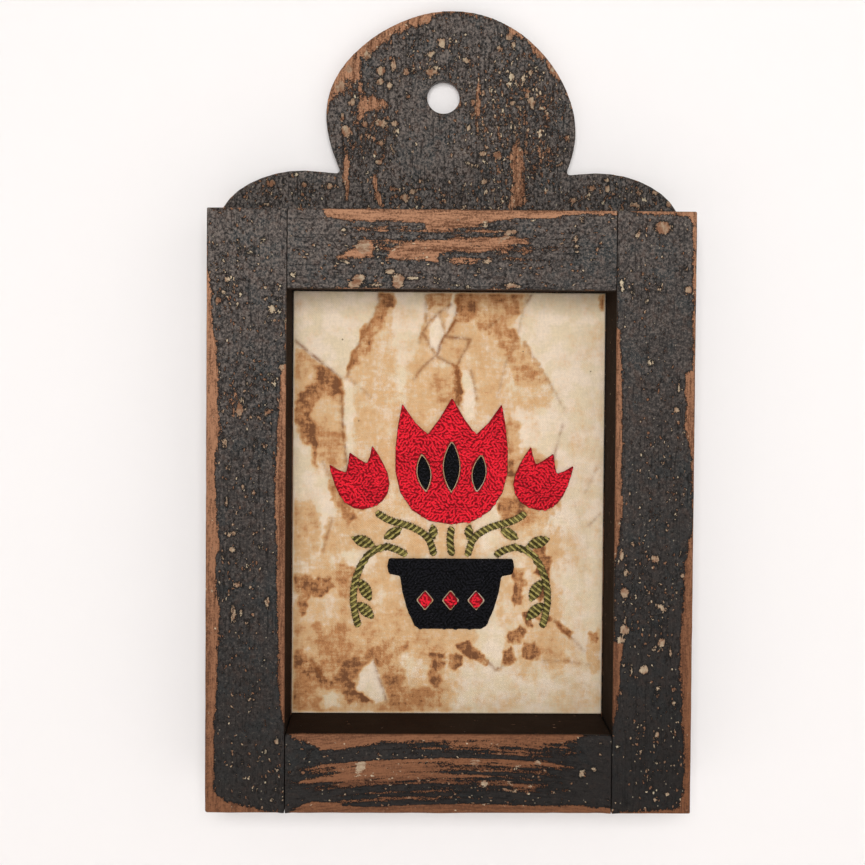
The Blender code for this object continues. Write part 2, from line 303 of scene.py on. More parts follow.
def make_paint_loss():
    tree, given, result = new_group(
        "paint loss",
        (
            ("Place", "Vector"), ("Wear", "Float"), ("Drawn", "Float"), ("Chips", "Float"),
            ("Knock", "Float"), ("Pale", "Float"),
        ),
        (("Paint", "Float"), ("Rim_And_Shadow", "Float"), ("Chip", "Float"), ("Tone", "Float")),
    )
    place, drawn = given["Place"], given["Drawn"]
    streaks = drawn_noise(tree, place, (1.0, 1.0, 0.14), 900.0, 4.0, 0.62)
    blots = drawn_noise(tree, place, (1.0, 1.0, 0.6), 420.0, 6.0, 0.7)
    lines = drawn_noise(tree, place, (1.0, 1.0, 0.02), 440.0, 2.0, 0.4)
    fine = speckle(tree, place, 2300.0, 2.0, 0.6)
    spread = calc(tree, "MULTIPLY", blots, calc(tree, "MULTIPLY_ADD", drawn, -1.1, 1.6))
    spread = calc(tree, "MULTIPLY_ADD", calc(tree, "MULTIPLY", lines, drawn), 2.6, spread)
    rubbing = calc(tree, "MULTIPLY_ADD", streaks, 0.9, calc(tree, "MULTIPLY_ADD", fine, 0.9, spread))
    rubbed = calc(tree, "ADD", rubbing, given["Wear"])
    ragged = shaken(tree, stretch(tree, place, (1.0, 1.0, 0.7)), 900.0, 0.0022)
    specks = chip_layer(tree, ragged, given["Chips"], SPECK_CELLS, SPECK_SHARE, SPECK_RADIUS)
    lumps = drawn_noise(tree, place, (1.0, 1.0, 0.7), FLAKE_LUMPS, 4.0, 0.66)
    raised = calc(tree, "MULTIPLY_ADD", given["Chips"], FLAKE_MORE, lumps)
    cut = calc(tree, "SUBTRACT", raised, FLAKE_CUT)
    flakes = calc(tree, "MAXIMUM", specks, calc(tree, "MULTIPLY", cut, FLAKE_SLOPE))
    knock = calc(tree, "MULTIPLY_ADD", rubbing, KNOCK_RAGGED, given["Knock"])
    knock = calc(tree, "MULTIPLY", calc(tree, "SUBTRACT", knock, KNOCK_SHRINK), KNOCK_SLOPE)
    chip = calc(tree, "MAXIMUM", flakes, knock)
    bare = calc(tree, "MAXIMUM", remap(tree, rubbed, 0.47, 0.53), remap(tree, chip, -0.02, 0.04))
    # the band just round bare wood and flakes, which gets the painted shadow rim
    near = calc(tree, "MAXIMUM", remap(tree, rubbed, 0.24, 0.47), remap(tree, chip, -0.30, -0.06))
    chance = remap(tree, speckle(tree, place, 420.0, 3.0, 0.7), -0.04, 0.16)
    knocked = remap(tree, knock, -0.2, -0.05)
    tone = calc(tree, "MULTIPLY", chance, calc(tree, "SUBTRACT", 1.0, knocked))
    result("Paint", calc(tree, "SUBTRACT", 1.0, bare))
    result("Rim_And_Shadow", calc(tree, "MULTIPLY", near, calc(tree, "SUBTRACT", 1.0, bare)))
    result("Chip", remap(tree, chip, -0.02, 0.06))
    pale = calc(tree, "MULTIPLY_ADD", given["Pale"], 0.75, calc(tree, "MULTIPLY", blots, 3.0))
    result("Tone", calc(tree, "MULTIPLY_ADD", knocked, calc(tree, "MAXIMUM", pale, 0.0), tone))


make_paint_loss()
print("specks and flakes in mm:", round(1000 / SPECK_CELLS, 1), round(1000 / FLAKE_LUMPS, 1))

# %% [markdown]
# The paint itself is old and dull: charcoal that drifts between cool and warm, brush marks along the
# grain, grit in it that reads as pale and dark specks no larger than a grain of salt, and here and
# there a pinhole or a fleck of dust. A painted light input makes the paint and its pale grit lighter
# towards the top and left, and blends the paint into the deep colour towards the bottom and right,
# as painted shade. The group mixes these from noise and dots, and gives its height too.


# %% Group: old paint
def make_old_paint():
    tree, given, result = new_group(
        "old paint",
        (
            ("Place", "Vector"), ("Faded", "Float"), ("Paint", "Color"), ("Cool", "Color"),
            ("Warm", "Color"), ("Pale", "Color"), ("Deep", "Color"), ("Fleck", "Color"),
        ),
        (("Color", "Color"), ("Height", "Float"), ("Mottle", "Float")),
    )
    place = given["Place"]
    mottle = speckle(tree, place, 90.0, 3.0, 0.6)
    patches = speckle(tree, place, 380.0, 3.0, 0.6)
    grit = speckle(tree, place, 1050.0, 4.0, 0.76)
    brushed = drawn_noise(tree, place, (1.0, 1.0, 0.06), 1300.0, 3.0)
    colour = blend(tree, remap(tree, mottle, -0.06, 0.16), given["Paint"], given["Cool"])
    colour = blend(tree, remap(tree, patches, 0.02, 0.15, 0.0, 0.75), colour, given["Warm"])
    # painted light and shade: pale grit shows more towards the top left, and towards the bottom right
    # the paint is blended into the near-black deep colour
    grit_and_painted_light = calc(tree, "MULTIPLY_ADD", given["Faded"], 0.12, calc(tree, "SUBTRACT", grit, 0.05))
    colour = blend(tree, remap(tree, grit_and_painted_light, 0.02, 0.17, 0.0, 0.90), colour, given["Pale"])
    painted_light = calc(tree, "MULTIPLY_ADD", given["Faded"], 0.80, 0.20)
    colour = blend(tree, painted_light, given["Deep"], colour)
    colour = blend(tree, remap(tree, grit, -0.02, -0.17, 0.0, 0.85), colour, given["Deep"])
    colour = blend(tree, remap(tree, brushed, -0.04, -0.20, 0.0, 0.7), colour, given["Deep"])
    pinholes = chip_layer(tree, stretch(tree, place, (1.2, 1.2, -1.2)), 1.0, 620.0, 0.16, 0.15)
    flecks = chip_layer(tree, stretch(tree, place, (1.1, -1.1, 0.9)), 1.0, 560.0, 0.15, 0.13)
    colour = blend(tree, remap(tree, pinholes, -0.02, 0.04, 0.0, 0.85), colour, given["Deep"])
    colour = blend(tree, remap(tree, flecks, -0.02, 0.04, 0.0, 0.8), colour, given["Fleck"])
    result("Color", colour)
    result("Height", calc(tree, "MULTIPLY_ADD", brushed, 0.5, calc(tree, "MULTIPLY", grit, 0.5)))
    result("Mottle", mottle)


make_old_paint()
print("sockets of old paint:", len(bpy.data.node_groups["old paint"].interface.items_tree))

# %% [markdown]
# Each board gets its own copy of one finish: charcoal paint over bare wood. The grain has to run
# along the board, so the place is turned for the rails, and it is bent a little for a board whose
# rings arch. The colours of the paint, of the bare wood and of the deep flakes stay in the
# material, where the shader also takes its roughness and bump from the same masks.

# %% Finish: painted wood
PAINT = tint(69, 63, 60)
PAINT_COOL = tint(63, 65, 65)
PAINT_WARM = tint(82, 67, 60)
PAINT_PALE = tint(118, 108, 101)
# near-black of the paint's dark grit, brush marks and pinholes, also used for painted shade
PAINT_DEEP_AND_SHADE = tint(18, 16, 15)
FLECK = tint(160, 148, 128)
WOOD_LIGHT = tint(174, 128, 98)
WOOD_LOW = tint(122, 80, 55)
WOOD_DARK = tint(90, 58, 41)
CHIP_PALE = tint(200, 187, 160)
CHIP_BROWN = tint(124, 88, 66)
# dark brown of the opening's inner walls: partly stain, partly painted shade of the deep opening
RECESS_STAIN_AND_SHADE = tint(40, 26, 16)
PAINT_THICK = 0.00025
PAINT_ROUGH, WOOD_ROUGH = 0.55, 0.85
WOOD_SHINE = 0.12


def grain_place(tree, turned, arch, offset):
    """The object's own place with the grain along the third axis, arched and moved by the offset."""
    given = tree.nodes.new("ShaderNodeTexCoord")
    moved = tree.nodes.new("ShaderNodeMapping")
    feed(tree, moved.inputs["Vector"], given.outputs["Object"])
    if turned:
        moved.inputs["Rotation"].default_value = (0.0, math.radians(90), 0.0)
    split = tree.nodes.new("ShaderNodeSeparateXYZ")
    feed(tree, split.inputs[0], moved.outputs[0])
    joined = tree.nodes.new("ShaderNodeCombineXYZ")
    along = calc(tree, "SUBTRACT", split.outputs[2], -MIDDLE_X if turned else 0.0)
    bend = calc(tree, "MULTIPLY", calc(tree, "MULTIPLY", along, along), arch)
    feed(tree, joined.inputs[0], calc(tree, "ADD", calc(tree, "ADD", split.outputs[0], bend), offset))
    feed(tree, joined.inputs[1], split.outputs[1])
    feed(tree, joined.inputs[2], calc(tree, "ADD", split.outputs[2], offset))
    return joined.outputs[0]


def new_material(name):
    material = bpy.data.materials.new(name)
    material.use_nodes = True
    tree = material.node_tree
    return material, tree, tree.nodes["Principled BSDF"]


def add_bump(tree, shader, height, distance):
    bump = tree.nodes.new("ShaderNodeBump")
    bump.inputs["Distance"].default_value = distance
    feed(tree, bump.inputs["Height"], height)
    feed(tree, shader.inputs["Normal"], bump.outputs[0])


def painted_wood(name, turned, arch, offset):
    material, tree, shader = new_material(name)
    place = grain_place(tree, turned, arch, offset)
    # painted light and shade: paint and bare wood lighter towards the top and a little to the left,
    # darker towards the bottom
    painted_light = attribute(tree, "painted_light")
    loss = use_group(
        tree, "paint loss", Place=place, Wear=attribute(tree, "wear"), Drawn=attribute(tree, "drawn"),
        Chips=attribute(tree, "chips"), Knock=attribute(tree, "knock"), Pale=attribute(tree, "pale")
    )
    # bare wood painted lighter towards the top: painted light
    light = blend(tree, painted_light, WOOD_LOW, WOOD_LIGHT)
    wood = use_group(tree, "wood grain", Place=place, Light=light, Dark=WOOD_DARK)
    paint = use_group(
        tree, "old paint", Place=place, Faded=painted_light, Paint=PAINT, Cool=PAINT_COOL, Warm=PAINT_WARM,
        Pale=PAINT_PALE, Deep=PAINT_DEEP_AND_SHADE, Fleck=FLECK
    )
    # the opening's inner walls take the dark brown: stain and painted shade
    coat = blend(tree, attribute(tree, "inside"), paint["Color"], RECESS_STAIN_AND_SHADE)
    flake = blend(tree, loss["Tone"], CHIP_BROWN, CHIP_PALE)
    bare = blend(tree, calc(tree, "MULTIPLY", loss["Chip"], 0.85), wood["Color"], flake)
    colour = blend(tree, loss["Paint"], bare, coat)
    # dark rim round bare wood and flakes: painted shadow under the raised paint edge
    colour = blend(tree, calc(tree, "MULTIPLY", loss["Rim_And_Shadow"], 0.9), colour, PAINT_DEEP_AND_SHADE)
    feed(tree, shader.inputs["Base Color"], colour)
    satin = calc(tree, "MULTIPLY_ADD", paint["Mottle"], 0.4, PAINT_ROUGH)
    satin = calc(tree, "MULTIPLY_ADD", attribute(tree, "inside"), 0.4, satin)
    feed(tree, shader.inputs["Roughness"], remap(tree, loss["Paint"], 0.0, 1.0, WOOD_ROUGH, satin))
    shader.inputs["Specular IOR Level"].default_value = WOOD_SHINE
    height = calc(tree, "MULTIPLY_ADD", wood["Height"], 0.22, loss["Paint"])
    height = calc(tree, "ADD", paint["Height"], height)
    height = calc(tree, "MULTIPLY_ADD", loss["Rim_And_Shadow"], 0.35, height)
    add_bump(tree, shader, height, PAINT_THICK)
    return material


print("paint thickness in mm:", PAINT_THICK / MM)

# %% [markdown]
# Where the paint is worn is no accident: hands and shelves rub the outer edges, and sanding follows
# the grain. BARE holds the outlines of the places that are rubbed down to the wood. All lie on the
# front of the frame or of the crest, and the shader's noise makes their borders ragged. A painted
# mask would do as well, but outlines can be read, moved and drawn again at any size.

# %% Where the paint is rubbed off
BARE = (
    # strength, width of the border in mm, then the corners: across and up in mm
    (1, 2.5, ((-94.5, 213), (-92.9, 202.3), (-92.1, 187), (-90.7, 181.2), (-90.1, 173.5),
        (-89.7, 163.9), (-89.9, 156.2), (-88.9, 148.5), (-90.4, 138.9), (-90.9, 133.1), (-90.7, 121.5),
        (-89.7, 113.8), (-90.1, 108.4), (-88.7, 105.7), (-90.6, 98.4), (-90.8, 86.7), (-89.4, 79.8),
        (-89.4, 67.4), (-89.9, 57.7), (-89.7, 47.9), (-90.4, 42.1), (-90.6, 34.3), (-91, 26.5),
        (-90.7, 18.7), (-91.1, 14.8), (-90.9, 8.2), (-89.1, 6.3), (-84.5, 3.9), (-76, 2), (-68.2, -0.3),
        (-61.3, -3.4), (-96.1, -5.1))),
    (1, 2.3, ((-63.3, 174.1), (-64.8, 173.3), (-65.8, 168.7), (-65.9, 160.2), (-66.3, 152.5),
        (-67, 147.9), (-67.2, 139), (-67.5, 129.4), (-67.2, 113.9), (-66.6, 104.3), (-66.5, 83),
        (-66, 67.5), (-65.6, 51.9), (-65.2, 44.1), (-64.6, 38.3), (-63.8, 35.6), (-62.2, 35.6))),
    (1, 2.5, ((93.7, 172.1), (92.1, 172.5), (90.4, 171.3), (90.2, 167.1), (91.1, 161.3), (91, 149.7),
        (92.1, 143.9), (93.3, 140), (94.8, 138.9), (94.4, 172.1))),
    (1, 2.7, ((94.4, 109), (92.5, 107), (91.8, 102.3), (91.1, 96.1), (90.8, 89.5), (90.9, 79.8),
        (90.2, 72), (89.7, 68.1), (90.3, 62.2), (90, 54.4), (90.5, 44.6), (91, 34.9), (91.5, 27),
        (91.8, 17.2), (91.8, 7.4), (90.7, 2.7), (82.5, 1.1), (66.9, 0.7), (66.9, -2.4), (98.1, -2.4),
        (96.8, 109))),
    (0.85, 1.9, ((93.5, 140), (94.8, 140), (95.2, 107), (93.9, 107))),
    (0.75, 1.7, ((92.5, 234.5), (93.3, 172.1), (94.8, 172.1), (94.1, 234.5))),
    (1, 2.1, ((63.3, 189.7), (64.6, 188.1), (65.1, 180.4), (65.8, 172.7), (66.1, 161.1), (66.1, 145.7),
        (65.8, 137.9), (66.2, 130.2), (66.2, 118.5), (65.7, 112.7), (65.2, 104.9), (63.9, 99.1),
        (63.1, 99.1), (62.2, 145.6), (62.1, 189.7))),
    (1, 1.9, ((63, 67.2), (67.5, 66.8), (66.8, 62.1), (65.9, 57.1), (66.5, 53.2), (65.8, 48.5),
        (65.2, 44.6), (64.9, 39.9), (64, 36), (62.6, 36))),
    (1, 1.7, ((-49.6, 234), (-48.6, 231.2), (-41.3, 229.7), (-31.8, 229.4), (-21, 229.7), (-11, 229),
        (-9.9, 226.4), (-2.9, 226.4), (2.8, 227.2), (10.5, 228.8), (18.2, 230.4), (25.9, 231.1),
        (39.3, 231.4), (41.2, 232.4), (52.8, 232.6), (63.2, 232.9), (63.2, 235))),
    (0.68, 1.5, ((67.8, 235.5), (69, 233), (75.9, 232.8), (83.7, 232.5), (90.6, 231.8), (92.2, 229.9),
        (94.5, 229.2), (94.4, 236.1))),
    (0.9, 3.0, ((-25.1, 215.7), (-22.1, 219.2), (-16.3, 220.9), (-4.8, 222.2), (-2.5, 221.8),
        (2.1, 219.9), (-4.8, 216.8), (-6.3, 214.9), (-12.5, 215.4), (-20.1, 215))),
    (0.72, 3.4, ((-10.6, 220.6), (-1, 222.6), (10.5, 223.8), (24, 224), (29.8, 221.3), (20.2, 220.1),
        (6.7, 219.6), (-1.7, 218.4))),
    (0.9, 2.7, ((-44.7, 214.6), (-39.4, 218.1), (-36.3, 219.6), (-34, 223.1), (-30.9, 222),
        (-30.5, 215.8), (-38.6, 215))),
    (0.85, 2.7, ((-45.7, 193.5), (-43, 191.2), (-41.1, 191.6), (-38.4, 192), (-23.1, 192.1),
        (-20, 187.5), (-46.9, 187.3))),
    (0.7, 2.3, ((-21.9, 190.2), (-8.4, 190.7), (18.5, 189.7), (40.1, 189.5), (40.1, 187.2),
        (-21.9, 186.7))),
    (0.95, 2.7, ((-61.4, 31.7), (-61, 29.7), (-55.6, 28.6), (-51.7, 26.6), (-49, 24.7), (-42.1, 24.7),
        (-32.4, 26.3), (-24.7, 27.9), (-18.9, 27.9), (-3.4, 28.3), (12.2, 28.4), (27.7, 27.6),
        (43.2, 27.7), (49.1, 28.5), (52.2, 30.8), (52.1, 33.6), (-61.4, 33.2))),
    (0.95, 2.1, ((-62, -1.9), (-61.3, 0.1), (-57.4, 2.4), (-52.8, 4.8), (-45.8, 4), (-40, 2.9),
        (-26.4, 2.5), (-3.2, 3.1), (20.1, 3.6), (43.5, 3.2), (59.1, 2.5), (63.7, 2.3), (63.8, -2.4),
        (-62, -2.7))),
    (0.68, 3.8, ((-50.4, 273.9), (-49.1, 279.2), (-47.2, 281.8), (-42.9, 282.8), (-42, 287.8),
        (-38.7, 287.1), (-36.4, 289.8), (-36.4, 297), (-32.2, 299.7), (-26.9, 303), (-23.7, 306.3),
        (-17.1, 309.6), (-11.9, 311), (-8.6, 312), (-5.3, 315), (4.6, 315.4), (9.8, 314.5),
        (9.8, 317.8), (-5.3, 318.3), (-31.6, 312.1), (-51.2, 292.3), (-53.7, 273.9))),
    (0.68, 3.0, ((11.1, 314.5), (17.7, 313.3), (21.7, 310.7), (23.1, 306.1), (27.7, 306.8),
        (31.7, 302.9), (33, 299.7), (37.7, 295.8), (39.7, 291.9), (44.4, 288.6), (47.1, 282.8),
        (50.4, 282.8), (47.6, 294.6), (34.3, 309.5), (19.7, 315.9))),
    (0.68, 2.3, ((-37.7, 287.2), (-35.4, 287.8), (-35.3, 272.8), (-37.6, 272.7))),
    (0.68, 3.0, ((-37, 281.3), (-34, 282.6), (-29.4, 282), (-25.8, 279.4), (-25.8, 276.8),
        (-31.4, 276.1), (-35.3, 275.4), (-37, 276.7))),
    (0.68, 2.3, ((10.4, 289.3), (11.7, 289.6), (11.8, 275.8), (10.5, 273.2), (9.2, 275.8),
        (10.1, 282.4))),
    (0.68, 1.9, ((-42.6, 261.9), (-41.5, 258.6), (-40.6, 255.4), (-41.1, 250.8), (-40.7, 243.5),
        (-41.7, 239.3), (-43, 239.6), (-42.7, 244.8), (-43.6, 250.1), (-44.1, 255.3), (-43.4, 259.3))),
    (0.68, 3.0, ((26.4, 264.9), (27.8, 261.9), (29.8, 260.6), (29.1, 257.3), (30.3, 254.7),
        (29.2, 251.4), (30.5, 248.1), (29.9, 244.2), (30.9, 240.2), (29.3, 237.3), (23.7, 237.2),
        (23, 241.5), (24.3, 245.4), (24.9, 251.4), (23.5, 257.9), (24.1, 260.6))),
    (0.68, 1.7, ((-31.5, 249.5), (-30, 248.9), (-29.5, 243.6), (-27.5, 241), (-27.8, 237.7),
        (-28.8, 237.7), (-30.5, 241.7), (-31.5, 244.9))),
    (0.68, 1.5, ((10.1, 276.9), (10.8, 276.9), (10.8, 261.1), (10.3, 261.1))),
    (0.68, 1.5, ((18.7, 277), (19.4, 277), (19.5, 263.8), (19, 263.8))),
)
print("bare places:", len(BARE))

# %% [markdown]
# Softer wear is a matter of ovals. WORN makes the paint thin, DRAWN lets the wear follow single grain
# lines, CHIPPED is where small flakes are many, and EDGE_WORN where the edges have lost more.

# %% Where the paint is thin, streaked or flaked
WORN = (
    # across, up, half_w, half_h, turn, strength
    (-83.0, 158.5, 3.4, 6.0, 20.0, 0.40),
    (20.0, 222.2, 13.0, 0.9, 1.0, 0.44),
    (10.0, 218.6, 7.0, 0.9, 3.0, 0.48),
    (12.0, 226.6, 9.0, 1.6, -4.0, 0.42),
    (-6.0, 222.0, 40.0, 8.0, 0.0, 0.20),
    (4.0, 219.0, 6.0, 9.0, 0.0, 0.34),
    (-20.0, 13.0, 38.0, 9.5, 0.0, 0.44),
    (18.0, 15.0, 32.0, 9.0, 0.0, 0.38),
    (10.0, 25.0, 44.0, 3.6, 0.0, 0.52),
    (-41.2, 289.0, 1.6, 11.0, 0.0, 0.40),
    (-33.6, 266.0, 12.0, 20.0, 0.0, 0.26),
    (34.0, 270.0, 14.0, 26.0, 0.0, 0.24),
    (0.0, 235.6, 88.0, 1.5, 0.0, 0.42),
)
DRAWN = (
    # across, up, half_w, half_h, turn, strength
    (-6.0, 15.0, 56.0, 18.0, 0.0, 1.0),
    (2.0, 219.0, 62.0, 18.0, 0.0, 0.45),
)
CHIPPED = (
    # across, up, half_w, half_h, turn, strength
    (-84.0, 208.0, 10.0, 24.0, 0.0, 0.55),
    (-70.0, 196.0, 6.0, 14.0, 0.0, 0.50),
    (-79.0, 165.0, 14.0, 22.0, 0.0, 0.55),
    (-82.0, 90.0, 11.0, 60.0, 0.0, 0.34),
    (-74.0, 16.0, 16.0, 16.0, 0.0, 0.40),
    (72.0, 205.0, 12.0, 7.0, 0.0, 0.45),
    (82.0, 140.0, 10.0, 44.0, 0.0, 0.30),
    (76.0, 82.0, 14.0, 28.0, 0.0, 0.55),
    (80.0, 30.0, 15.0, 30.0, 0.0, 0.42),
    (0.0, 14.0, 60.0, 16.0, 0.0, 0.45),
    (0.0, 218.0, 62.0, 14.0, 0.0, 0.40),
    (26.0, 272.0, 24.0, 36.0, 0.0, 0.85),
    (-6.0, 298.0, 30.0, 14.0, 0.0, 0.60),
    (-33.0, 268.0, 16.0, 30.0, 0.0, 0.60),
    (0.0, 242.0, 48.0, 10.0, 0.0, 0.70),
    (66.0, 242.0, 24.0, 8.0, 0.0, 0.75),
    (-68.0, 242.0, 24.0, 8.0, 0.0, 0.65),
)
EDGE_WORN = (
    # across, up, half_w, half_h, turn, strength
    (-44.0, 292.0, 12.0, 22.0, 0.0, 0.50),
    (-20.0, 312.0, 24.0, 8.0, 20.0, 0.45),
    (40.0, 292.0, 14.0, 22.0, -30.0, 0.35),
    (-94.0, 100.0, 3.0, 120.0, 0.0, 0.35),
    (94.0, 110.0, 3.0, 110.0, 0.0, 0.25),
    (0.0, 0.0, 95.0, 4.0, 0.0, 0.40),
    (-80.0, 0.0, 30.0, 4.0, 0.0, 0.30),
)
BASE_WEAR = 0.06
BASE_CHIPS = 0.14
print("ovals:", len(WORN + DRAWN + CHIPPED + EDGE_WORN))

# %% [markdown]
# Knocks have lifted single larger flakes, which sit in clusters. Some of them look pale and some
# brown. Each is a small turned oval, and its last number says how pale it is.

